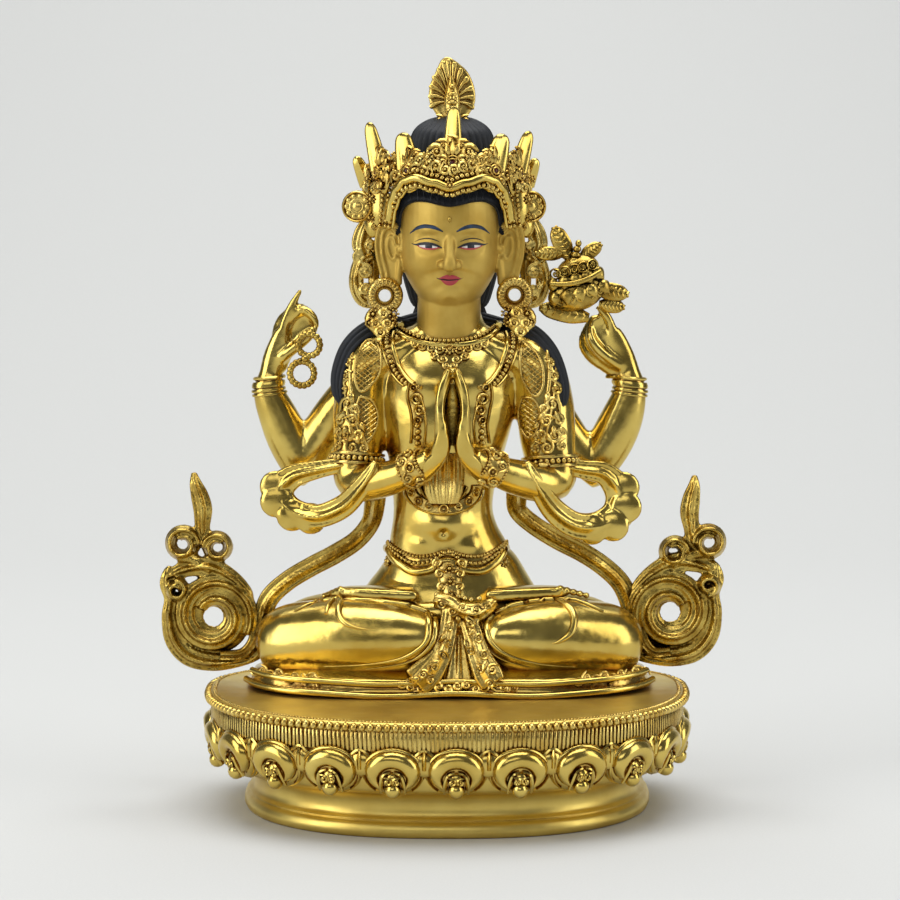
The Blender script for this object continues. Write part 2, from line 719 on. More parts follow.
def buildThrone():
    reach = throne["plateReach"]
    profile = [
        (59.3, 0), (60.1, 0.35), (60.5, 1.2), (60.5, 2.4), (60.1, 3.5), (59.4, 4.2), (58.9, 4.35), (58.7, 4.7),
        (59.1, 5), (58.9, 5.35), (58.2, 5.6), (57.7, 6.4), (57.5, 7.8), (57.6, 9.4), (58.2, 11), (59.4, 12.3),
        (61, 13), (64, 13.6), (65.4, 15), (66.6, 19), (67.6, 23), (69, 26), (69.5, 28), (69.6, 31.4),
        (69.7, 32), (70.3, 32.2), (70.6, 33), (70.5, 34), (70, 34.4), (69.4, 34.5), (66, 34.5), (30, 34.5),
    ]
    addPiece("throneBody", [planStack(profile, throne["sides"])], dull, "lotus_base", fromFloor)

    petal, tip = petalTemplate(), tipTemplate()
    shapes = []
    for spot, outward in alongPlan(throne["wallReach"] - 0.6, throne["petals"], throne["petalShift"]):
        shapes += moved(petal, wallMatrix(spot - outward * 0.9, outward, throne["petalFoot"], throne["petalLean"]),
            copies=True)
    for spot, outward in alongPlan(throne["wallReach"] + 1.2, throne["petals"], throne["petalShift"] + 0.5):
        shapes += moved(tip, wallMatrix(spot, outward, 22.7, 8), copies=True)
    addPiece("throneLotusPetals", shapes, bright, "lotus_base", fromFloor)

    bars = int(perimeter(reach) / throne["barPitch"])
    bar = [loft([(0, 0, 0, 0.2, 0.3), (0, 0.4, 0, 0.44, 0.6), (0, 5.2, 0, 0.44, 0.6), (0, 5.6, 0, 0.2, 0.3)],
                facing=out, sides=8, steps=1, outline=box2)]
    shapes = []
    for spot, outward in alongPlan(reach - 0.5, bars):
        shapes += moved(bar, wallMatrix(spot, outward, throne["barFoot"], 1) @ turned(dice.uniform(-1.6, 1.6), "Z"),
            copies=True)
    beads = int(perimeter(reach) / throne["beadPitch"])
    bead = [ball((0, 0, 0), (1.1, 1.28, 1.35), sides=10)]
    for spot, outward in alongPlan(reach + 0.75, beads):
        shapes += moved(bead, wallMatrix(spot, outward, 33.2 + dice.uniform(-0.06, 0.06)), copies=True)
    fine = int(perimeter(reach - 1.4) / 1)
    grit = [ball((0, 0, 0), (0.44, 0.4, 0.62), (0, 0, 28), sides=6)]
    for spot, outward in alongPlan(reach - 1.1, fine):
        shapes += moved(grit, wallMatrix(spot, outward, 34.5), copies=True)
    addPiece("throneRimBeads", shapes, relief, "lotus_base", fromFloor)


print("stage: throne")
buildThrone()


# The body

body = {"grain": 0.72, "rounds": 5, "handGrain": 0.34, "rearArmGrain": 0.6, "handRounds": 4}

torsoRows = [
    (0.5, 3, 18, 30, 17), (0.5, 3, 24, 28, 16.5), (0.5, 3, 29.5, 24.6, 15.4), (0.4, 2.6, 34, 21.6, 14),
    (0, 1.4, 39, 18.6, 12.6), (-0.8, 0.6, 45, 16.4, 11.4), (-1.2, 0, 53, 14.8, 11),
    (-1, 0, 64, 16.2, 12), (-0.2, 0, 76, 18.8, 13.4), (0.5, 0.5, 87, 20.8, 13.4),
    (0.8, 1.5, 95, 21, 12), (0.8, 2, 100, 18.6, 10.4), (0.8, 1.6, 104, 14, 9.6), (0.8, 1, 107, 10.8, 8.8),
    (0.6, 0, 111, 9.4, 8.4), (0.6, -1, 120, 9, 8.8),
]
frontArmRows = [
    [(-18, 2, 100, 6, 7), (-24, 1, 95.5, 8, 9), (-25.8, -0.5, 84, 8, 8.6),
     (-26.4, -2.5, 71, 7.4, 7.6), (-28, -4.5, 62, 5.8, 6.2), (-27.5, -5, 58.5, 3.6, 4)],
    [(19.5, 2, 100, 6, 7), (25.6, 1, 95.5, 8.2, 9), (28.9, -0.5, 84, 8.8, 8.6),
     (30.2, -2.5, 71, 8, 7.6), (32.4, -4.5, 62, 6.2, 6.2), (32, -5, 58.5, 3.6, 4)],
    [(-29, -4, 61, 4.8, 5), (-24, -8.5, 61, 5.6, 6), (-15, -14, 63.6, 5, 5.2),
     (-8, -18, 67.2, 3.9, 4.2), (-4.2, -20, 70, 3.2, 4.2)],
    [(34, -4, 61, 4.8, 5), (28, -8.5, 61, 5.8, 6), (19, -14, 63.6, 5.2, 5.2),
     (11, -18, 67.2, 3.9, 4.2), (7, -20, 70, 3.2, 4.2)],
]
rearArmRows = [
    [(-19, 6, 96, 6, 6), (-28.5, 8, 86.5, 6.6, 6.4), (-36.5, 9.4, 76.5, 6.4, 6), (-42.2, 9.6, 66, 6.2, 5.6),
     (-41, 9.4, 61, 4, 4)],
    [(-40.6, 9.2, 60.6, 3.6, 3.6), (-43.2, 9.4, 64, 6, 5.4), (-47.4, 9.2, 72, 6.6, 5.6),
     (-51, 8.8, 80, 5.9, 5), (-53.6, 8.2, 87, 4.7, 4), (-52.9, 8, 92, 3.7, 3)],
    [(20, 6, 95, 6, 6), (28.5, 8, 84.5, 6.6, 6.4), (35.8, 9.4, 73.8, 6.4, 6), (41.6, 9.6, 64.5, 6.2, 5.6),
     (41.4, 9.4, 60.6, 4, 4)],
    [(41.2, 9.2, 60, 3.6, 3.6), (44.2, 9.4, 64, 6.2, 5.4), (49.4, 9.2, 72, 6.8, 5.6),
     (53, 8.8, 80, 6.3, 5), (55, 8.2, 87.4, 4.9, 4), (54.2, 8, 92.4, 4, 3.2)],
]


def buildBody():
    shapes = [loft(torsoRows, sides=36)] + [loft(rows, sides=24, steps=6) for rows in frontArmRows]
    for side in (-1, 1):  # the slope from the neck to the shoulder
        shapes.append(loft([(midline + side * x, *rest) for x, *rest in ((4, 1.6, 103.6, 5, 7.6),
            (11, 1.8, 101.8, 5.4, 8.6), (18, 1.6, 98.6, 6, 9.4), (24.5, 1.2, 94.4, 6.2, 9.2))], sides=20))
    mesh = fused(shapes, body["grain"], body["rounds"])
    pushed(mesh, [
        ((-8.5, -12, 92), (11, 9, 9), (0, -1.5, 0)), ((10.5, -12, 92), (11, 9, 9), (0, -1.5, 0)),  # the breast
        ((1, -12, 86), (3, 6, 12), (0, 0.8, 0)),  # hollow between
        ((-1, -12, 49), (12, 8, 6.5), (0, -1.9, 0)),  # belly
        ((-1.2, -12, 56.5), (13, 8, 3.2), (0, 1, 0)),  # fold above it
        ((-1, -12.5, 46.6), (1.5, 4, 1.5), (0, 1.4, 0)),  # navel
        ((-8, -12.5, 43), (6, 6, 3.4), (0, -0.7, 0)), ((6.4, -12.5, 43), (6, 6, 3.4), (0, -0.7, 0)),
    ])
    return mesh


def fingerRow(points, thick):
    # a finger through its joints, thick at the knuckle and round at the tip
    rows = []
    for i, point in enumerate(points):
        share = i / (len(points) - 1)
        swell = thick * (1.05 - 0.22 * share) * (0.55 if i == len(points) - 1 else 1)
        rows.append((*point, swell, swell * 1.02))
    return loft(rows, sides=10)


def prayingHands():
    # palms together at the heels and the finger tips, hollow between
    middle = 1.6
    # height, outer and inner edge, depth place, half depth
    edges = [(63.4, 12.4, 8, -15, 2.6), (65.6, 11, 5.2, -17.2, 4), (68.2, 8.6, 2.8, -19.2, 4.6),
        (71, 6.4, 1, -20.6, 4.9), (74, 5.2, 0.4, -21.6, 4.9), (78, 5, 1.2, -22.2, 5), (82, 4.9, 2.1, -22.6, 4.9),
        (86, 4.7, 2.1, -22.9, 4.5), (90, 4.1, 1.1, -23.1, 3.8), (93, 3.1, 0.2, -23.3, 3),
        (95.2, 1.8, 0, -23.4, 1.9), (96, 1, 0.2, -23.4, 0.7)]
    shapes = []
    for side in (-1, 1):
        def across(rows):
            return [(middle + side * x, *rest) for x, *rest in rows]
        shapes.append(loft(across([((outer + inner) / 2, y, z, (outer - inner) / 2, deep)
                                   for z, outer, inner, y, deep in edges]), sides=24, steps=5, outline=box2))
        for deep, share, thick in ((-26.4, 0, 1.3), (-23.6, 0.6, 1.2), (-21, 1.4, 1.2)):
            shapes.append(fingerRow(across([(4, deep + 1.6, 74), (3.9, deep + 0.8, 80), (3.8, deep + 0.2, 86),
                                            (2.9, deep + 0.1, 91), (1.2, deep + 0.3, 95.4 - share)]), thick))
        shapes.append(loft(across([(5.6, -22.6, 69.4, 1.5, 1.4), (4.2, -24.8, 72.6, 1.8, 1.5),
            (3.2, -25.8, 76.2, 1.7, 1.4), (2.9, -26.2, 79.4, 1.3, 1.1), (2.8, -26.2, 81.4, 0.5, 0.5)]), sides=16,
            steps=5))
    hollow = [loft([(middle, -20.4, 73, 1, 1.4), (middle, -20, 80, 2.8, 1.4), (middle, -20.4, 91, 1.6, 1.4)])]
    return fused(shapes, body["handGrain"], body["handRounds"]), hollow


def rearArms():
    shapes = [loft(rows, sides=20, steps=6) for rows in rearArmRows]
    left = [loft([(-53.4, 8, 89.5, 4, 3.2), (-53, 8, 92.6, 3.5, 2.8), (-51.6, 7.6, 97.4, 3.7, 2.4),
        (-50.2, 7.2, 102, 3.2, 2.1), (-49.2, 7, 105.5, 2.4, 1.9)], sides=14),
        fingerRow([(-49.8, 6.6, 103), (-48.6, 6.4, 108), (-46.4, 6.2, 113), (-43.6, 5.8, 117.8)], 1.45),
        fingerRow([(-49, 7.6, 104), (-46.2, 6.8, 109.4), (-43, 5.6, 111.8), (-39.9, 4.6, 109.6),
        (-38.7, 4.2, 106.6)], 1.4), fingerRow([(-50, 6.2, 97), (-45.2, 5.4, 100.6), (-41.6, 4.8, 103.6),
        (-39, 4.2, 106.4)], 1.7), fingerRow([(-50.4, 9, 103.4), (-49.6, 9.6, 107.4), (-47.8, 9.4, 111.2),
        (-45.9, 8.8, 113.8)], 1.3), fingerRow([(-51.6, 9.6, 101.6), (-51.6, 10.2, 105.2), (-50.4, 10.2, 108.6),
        (-49, 9.6, 111)], 1.2), loft([(-50.6, 8.4, 94, 2.4, 1.4), (-48.6, 8.2, 98.6, 2.4, 1.3),
        (-46.2, 7.8, 102.4, 3, 1.2), (-43.8, 7.4, 105, 4.4, 1.1), (-43, 7.2, 108, 4.2, 1.1),
        (-43.4, 7.2, 111, 3, 1), (-44.4, 7.4, 113.4, 1, 0.6)], sides=20)]
    right = [loft([(54.7, 8, 90, 4.2, 3.3), (54.3, 8, 93, 3.7, 2.9), (52.4, 7.6, 98, 3.8, 2.5),
        (50.6, 7.2, 102.6, 3.3, 2.2), (49.4, 7, 105.5, 2.5, 1.9)], sides=14),
        fingerRow([(50, 6.6, 103), (49, 6.2, 107.4), (47.2, 5.8, 110.6), (44.6, 5.4, 112.8)], 1.45),
        fingerRow([(49.2, 8, 103.4), (47.2, 7.4, 107.8), (44.6, 6.4, 109), (42.8, 5.6, 107)], 1.4),
        fingerRow([(52, 6.4, 95), (46.6, 5.6, 98.6), (43.4, 5.2, 102.4), (42.6, 5.4, 106.6)], 1.75),
        fingerRow([(50.4, 9.2, 102.6), (48, 9.2, 105), (45.2, 8.4, 105), (43.6, 7.6, 103)], 1.3),
        fingerRow([(51.4, 9.6, 99.6), (49, 9.8, 101.4), (46.4, 9, 101.2), (44.8, 8.2, 99.6)], 1.2),
        loft([(52.6, 8.2, 92, 3, 1.6), (49.6, 7.8, 95.6, 4, 1.6), (47.2, 7.6, 98.6, 5.4, 1.5),
        (45.6, 7.4, 101.6, 6.3, 1.4), (45, 7.2, 104.4, 5.6, 1.3), (44.6, 7, 107.4, 3.8, 1.2),
        (44.2, 6.8, 110.2, 1.4, 0.8)], sides=20)]
    return fused(shapes + left + right, body["rearArmGrain"], body["handRounds"])


print("stage: body")
bodyMesh = buildBody()
bodyTree = treeOf(bodyMesh)
handsMesh, palmHollow = prayingHands()
rearMesh = rearArms()
rearTree = treeOf(rearMesh)


# Legs, skirt and belt

legRows = {"leftShin": [(-57, -1.5, 12.6, 2, 2.6), (-55.6, -1.6, 12.6, 5.2, 5.8), (-53.2, -2.2, 12.8, 8, 8.6),
    (-49, -4, 13.2, 10.4, 11.2), (-43, -6.6, 13.8, 11.6, 12), (-30, -13, 15.4, 11.8, 11),
    (-15, -18.5, 16.4, 10.4, 9.4), (-7, -20.6, 17, 8, 7.4), (-3, -21, 17.2, 5, 5), (-1.2, -21, 17.2, 2, 2)],
    "rightShin": [(58.4, -1.5, 12.6, 2, 2.6), (57.1, -1.6, 12.6, 5.2, 5.8), (54.8, -2.2, 12.8, 8, 8.6),
    (50.6, -4, 13.2, 10.4, 11.2), (45, -6.6, 13.8, 11.6, 12), (32, -13, 15.4, 11.8, 11),
    (22, -17.4, 16.2, 10.4, 9.4), (15.6, -19.6, 16.8, 8, 7.4), (11.8, -20.2, 17, 5, 5), (10, -20.2, 17, 2, 2)],
    "thigh": [(8, 6, 16, 13, 12), (26, 4, 15, 13, 13), (42, 0, 14, 12, 11), (51, -1, 13.5, 8, 8)]}


cloth = {"grain": 0.8, "footGrain": 0.48, "halfWide": 61.0, "deepBack": 21.0,
         "deepFront": 27.5, "waves": 9, "waveDepth": 0.010, "sides": 160}


def hemReach(deep, x):
    # how far forward the cloth's edge runs at x
    return deep * (1 - abs((x - midline) / 62.4) ** 4.4) ** 0.55


def seatCloth():
    profile = [(0.955, 0.35), (0.985, 0.6), (1, 1.3), (0.997, 2), (0.975, 2.6), (0.962, 3.2), (0.968, 4),
               (0.962, 4.8), (0.935, 5.4), (0.88, 6.4), (0.82, 7.8), (0.74, 9.6)]
    ring = bmesh.new()
    points = bmesh.ops.create_circle(ring, segments=cloth["sides"], radius=1)["verts"]
    for i, point in enumerate(points):
        angle = 2 * pi * i / cloth["sides"]
        c, s = cos(angle), sin(angle)
        deep = cloth["deepBack"] if s > 0 else cloth["deepFront"]
        wave = 1 + cloth["waveDepth"] * sin(cloth["waves"] * angle) if s < 0 else 1
        point.co = Vector((cloth["halfWide"] * copysign(abs(c) ** 0.66, c) * profile[0][0],
                           deep * copysign(abs(s) ** 0.7, s) * profile[0][0] * wave, 0))
    bmesh.ops.translate(ring, vec=(0, 0, profile[0][1]), verts=ring.verts)
    made = grow(ring, stackMoves(profile))
    bmesh.ops.translate(made, vec=(midline, 0, 0), verts=made.verts)
    return made


def footShapes():
    # soles turned up on the thighs, the toes at their outer ends
    shapes = [loft([(-34, -9, 28, 1, 1.6), (-31, -9.4, 28.6, 1.7, 3), (-24, -11, 28.7, 2.1, 4),
        (-15, -12.4, 28.5, 2.2, 4.4), (-10.4, -13, 28.4, 2.1, 4.2), (-9.6, -13, 28.4, 1.5, 3.4)], sides=20,
        outline=box2), loft([(35.5, -9, 28.4, 1, 1.6), (33, -9.4, 28.8, 1.7, 3), (26, -11, 28.8, 2.1, 4),
        (17, -12.4, 28.6, 2.2, 4.4), (12.9, -13, 28.5, 2.1, 4.2), (12.1, -13, 28.5, 1.5, 3.4)], sides=20,
        outline=box2), loft([(-9, -6, 22, 6, 8), (2, -7, 22.6, 6, 9), (13, -6, 22, 6, 8)], sides=20)]
    for i in range(5):
        shapes.append(ball((33.4 + 2 * i, -11 + 1.2 * i, 29.8 - 0.62 * i), (1.3 - 0.08 * i, 1.9, 1.3 - 0.08 * i)))
        shapes.append(ball((-31.4 - 1.3 * i, -11 + 1.2 * i, 29.6 - 0.6 * i),
            (1.1 - 0.07 * i, 1.8, 1.25 - 0.08 * i)))
    return shapes


def buildLegs():
    left = [(midline - x, *rest) for x, *rest in legRows["thigh"]]
    right = [(midline + x, *rest) for x, *rest in legRows["thigh"]]
    addPiece("shins", [loft(legRows["leftShin"], sides=64, steps=7), loft(legRows["rightShin"], sides=64, steps=7)],
             bright)
    flare = [(midline, 4, 8, 40, 17), (midline, 4, 16, 38, 17.5), (midline, 3.6, 21, 33, 17),
        (midline, 3.2, 25.5, 28.4, 16.2), (midline, 3, 30, 24.6, 15.2), (0.6, 2.4, 34, 21.8, 14.2),
        (0.2, 1.6, 38, 19.2, 13), (0, 1.2, 41, 17.6, 12.4)]
    addPiece("thighsAndSeatCloth", fused([seatCloth(), loft(left, sides=24), loft(right, sides=24),
        loft(flare, sides=40)], cloth["grain"]), bright)
    addPiece("feet", fused(footShapes(), cloth["footGrain"], 2), bright)


print("stage: legs")
legTree = treeOf(plain([loft(legRows["leftShin"], sides=48, steps=6), loft(legRows["rightShin"], sides=48, steps=6),
                        seatCloth()]))
buildLegs()


def backArc(first, middle, reach, height, width, depth, rise=0.0, sides=12):
    # the half of a belt or collar that runs round behind, from first degrees on one side
    rows = []
    for i in range(25):
        angle = radians(mix(first, 360 - first, i / 24))
        rows.append((middle[0] + reach[0] * sin(angle), middle[1] - reach[1] * cos(angle),
                     height + rise * (1 - abs(i / 12 - 1)), width, depth))
    return loft(rows, facing=upward, sides=sides, steps=1)


skirt = {"gatherGrain": 0.4, "hemScrolls": 13, "cornerScrolls": 9, "hemBead": 0.85}


def skirtOrnament():
    # hem lines, the line down each shin, and the gathered cloth ends between the legs
    plainLines, ornate = [], []
    for rows in ([(-35.4, 23.6), (-34.4, 26.2), (-32.4, 27.4), (-31.4, 26.6), (-31.6, 24), (-29.8, 21.6),
            (-26.4, 20.4), (-22.6, 20)], [(30.6, 27.4), (33.8, 26.6), (36.4, 24.4), (37, 21.4), (35.6, 18.2),
            (32.4, 16.2), (30.4, 15.8)]):
        plainLines.append(cordOn(legTree, rows, 1.15, 1.15, lift=0.1, steps=6, taper=True))
    for rows in ([(-45, 23.6), (-36, 27), (-23.4, 28.4), (-11.3, 28.6), (-7, 27), (-5.4, 22.4), (-5.8, 17.3),
            (-8.9, 14), (-14.5, 11.3), (-24.5, 9.4), (-36, 8.4)], [(-20, 29), (-10, 29.6), (-5.4, 27.8),
            (-3.6, 22.4), (-4.2, 16.8), (-7.6, 12.6), (-13, 10), (-23.5, 8)],
            [(46, 23.6), (38, 26.6), (27, 28), (17, 27.8), (13, 25.4), (11.6, 21), (12.8, 16.4), (17.4, 12.6),
            (27, 9.6), (37.4, 8.2)], [(28, 28.8), (17.6, 28.8), (12, 26.4), (10, 21), (11.2, 15.6), (15.6, 11.4),
            (24, 8.6)]):
        plainLines.append(cordOn(legTree, rows, 1.05, 1, lift=0.1, steps=6, taper=True))
    for height, deep, thick, first, last in ((1.2, 27.9, 1, -59.6, 61), (4.5, 26.9, 0.9, -57.6, 59)):
        rows = []
        for i in range(61):
            share = i / 60
            x = mix(first, last, share)
            reach = hemReach(deep, x)
            lift = 0.5 * sin((x + 8) / 7) * sin(pi * share) + 1.6 * abs(2 * share - 1) ** 6
            rows.append((x, -reach, height + lift, thick, thick))
        plainLines.append(loft(rows, sides=8, steps=1))
    addPiece("skirtLines", plainLines, bright)

    gathers = [loft([(1, -20, 25.6, 2.6, 2), (0.2, -23.4, 19.4, 2.8, 1.8), (-2, -25.8, 12.6, 3.4, 1.7),
        (-5.8, -27.4, 7.6, 4.6, 1.5), (-9, -28, 4.8, 4.6, 1.3)], sides=24, steps=6, outline=ridged(2, 0.35)),
        loft([(5.2, -20.5, 24.6, 2.6, 2), (7.4, -23.6, 18.4, 3, 1.8), (9.6, -25.8, 12, 3.5, 1.7),
        (11.8, -27.2, 7.4, 4.2, 1.5), (13.4, -28, 4.6, 3.8, 1.3)], sides=24, steps=6, outline=ridged(2, 0.35)),
        loft([(3.4, -20, 21, 1.4, 1.4), (3.4, -22.6, 13, 2.8, 1), (3.4, -25.6, 4, 5, 0.8)], sides=24,
        outline=ridged(3, 0.5)), loft([(-3.4, -18.6, 27.6, 2.4, 1.8), (0.6, -20.6, 27, 2.6, 2.2),
        (4, -22, 25, 2, 2), (8.6, -21.8, 24.2, 2.4, 2.2), (12, -20, 26, 2.2, 1.8), (14, -18.6, 27.4, 1.4, 1.4)],
        sides=20, steps=6, outline=ridged(2, 0.3))]
    mesh = fused(gathers, skirt["gatherGrain"], 2)
    tree = treeOf(mesh)
    addPiece("skirtGathers", mesh, relief)
    ornate += scrollsOn(tree, ((-1.4, 27, 2, 20, 1), (1.6, 25, 1.6, -40, -1), (4.6, 26, 1.3, 160, -1),
        (8.6, 25.4, 1.7, 60, 1), (11.8, 26.4, 1.4, 150, -1), (6.6, 21.6, 1.5, 60, -1), (9, 17.6, 1.7, 200, 1),
        (7, 14.2, 1.5, 20, -1), (10.6, 13, 1.7, 200, 1), (9.6, 9, 1.6, 90, -1), (13, 8.6, 1.7, 70, 1),
        (12.6, 5, 1.4, 150, -1), (0.6, 20.6, 1.4, 100, 1), (0.2, 16.4, 1.4, 280, -1), (-1.4, 12.8, 1.6, 10, 1),
        (-3.8, 9.6, 1.6, 180, -1), (-6.8, 7.4, 1.5, 40, 1), (-9.6, 5.6, 1.5, 220, -1), (-4.8, 5.8, 1.2, 90, 1)),
        lift=0.2, flat=0.4)
    for x, z, length, spin in ((8, 20, 3, 140), (5.2, 17, 3.6, 200), (11, 11, 3, 170), (-0.4, 18.6, 3, 150),
                               (-2.4, 11.4, 3, 130), (-8, 6.4, 2.6, 110), (3, 23.6, 2.4, 200)):
        ornate += moved([leaf(length, 0.8, 0.6, bend=0.6)], onSkin(tree, x, z, spin=spin, lift=0.3, flat=0.5))
    for x, z in ((3.2, 28.8), (5.2, 28.2), (7, 27.8), (-3, 29.4), (9.4, 28.2)):
        ornate.append(ball((x, -19.4, z), (skirt["hemBead"],) * 3, sides=10))
    for k in range(skirt["hemScrolls"]):  # the ornament on the hem between the legs
        x = mix(-13, 19, k / (skirt["hemScrolls"] - 1))
        z = 3.6 + 0.7 * cos(k * 1.9)
        spot = Vector((x, -27.9 + 0.004 * (x - midline) ** 2, z))
        template = swirl(1.35, 1.3, 0.42, 60 * k, 1 if k % 2 else -1, tail=1.6)
        ornate += moved(template, Matrix.Translation(spot) @ turned(72, "X"))
    for side in (-1, 1):  # the ornamented corners of the hem
        for k in range(skirt["cornerScrolls"]):
            x = midline + side * (57.4 - 2.5 * k)
            reach = hemReach(26.8, x)
            spot = Vector((x, -reach + 0.9, 5.6 - 0.12 * k + 0.9 * (k % 2)))
            ornate += moved(swirl(1.45, 1.3, 0.42, 70 * k, side, tail=1.2),
                            Matrix.Translation(spot) @ turned(60, "X"))
    addPiece("skirtOrnament", ornate, relief)


skirtOrnament()


def buildBelt():
    # the waist cloth: a waved polished ribbon, bead swags above it, and a jewelled pendant
    points = [(-16.6, 40.2), (-15.4, 38.2), (-13, 36.4), (-9.6, 34.8), (-4.7, 35.6), (-1.4, 37.9), (1.6, 37.9),
        (4.8, 35.6), (9.5, 35), (12.8, 36.4), (15, 38.2), (16.2, 40)]
    ribbon = [cordOn(bodyTree, points, 1.3, 1.2, lift=0.7, sides=12),
              cordOn(bodyTree, [(x * 0.98, z + 2) for x, z in points[1:-1]], 0.5, 0.5, lift=0.3)]
    ribbon.append(backArc(74, (-0.2, 1.4), (17.8, 13.2), 40.6, 1.3, 1.3))
    addPiece("beltRibbon", ribbon, bright)
    shapes = []
    for low, high in ((-18, -0.4), (0.6, 17.4)):
        for drop, radius, top in ((4.2, 0.7, 42.4), (2.6, 0.55, 42.8)):
            rows = []
            for i in range(13):
                share = i / 12
                x = mix(low, high, share)
                rows.append((x, top - drop * sin(pi * share) - 1.6 * (1 - abs(x) / 19)))
            shapes.append(beadsOn(bodyTree, rows, radius, radius * 2.05, lift=0.6))
    shapes.append(loft([(0.6, -12.6, 37.6, 3.4, 2), (0.8, -13.8, 34, 3.6, 1.8), (1.2, -15.6, 30.6, 3, 1.6),
                        (1.6, -17.6, 27.2, 2.2, 1.4), (2, -19, 25.2, 1, 1)], sides=16))
    for x, y, z, size in ((0.7, -15.6, 36.6, 1.7), (0.9, -16.6, 32.9, 1.7), (1.4, -18, 29.2, 1.5)):
        shapes += moved(rosette(size, 8, 0.6), standing(x, y, z))
    for x, y, z, spin, hand in ((-2.2, -15.2, 34.9, 40, 1), (3.8, -15.2, 34.9, 140, -1), (-1.6, -16.6, 31.2, 70, 1),
            (3.6, -16.6, 31.2, 110, -1), (-0.6, -18, 27.6, 250, -1), (3.2, -18, 27.6, 290, 1),
            (-2.8, -14.4, 38, 200, -1), (4.2, -14.4, 38, 340, 1)):
        shapes += moved(swirl(1.4, 1.25, 0.45, spin, hand, tail=1.4), standing(x, y, z))
    for x in (-17.2, 16.6):
        shapes += moved(rosette(1.7, 8), onSkin(bodyTree, x, 37, lift=0.8))
    addPiece("beltJewels", shapes, relief)


print("stage: belt")
buildBelt()


# Chest ornament

necklace = {"collarBead": 0.66, "collarPitch": 1.34, "strapBead": 0.78, "strapPitch": 1.55, "pleats": 11}


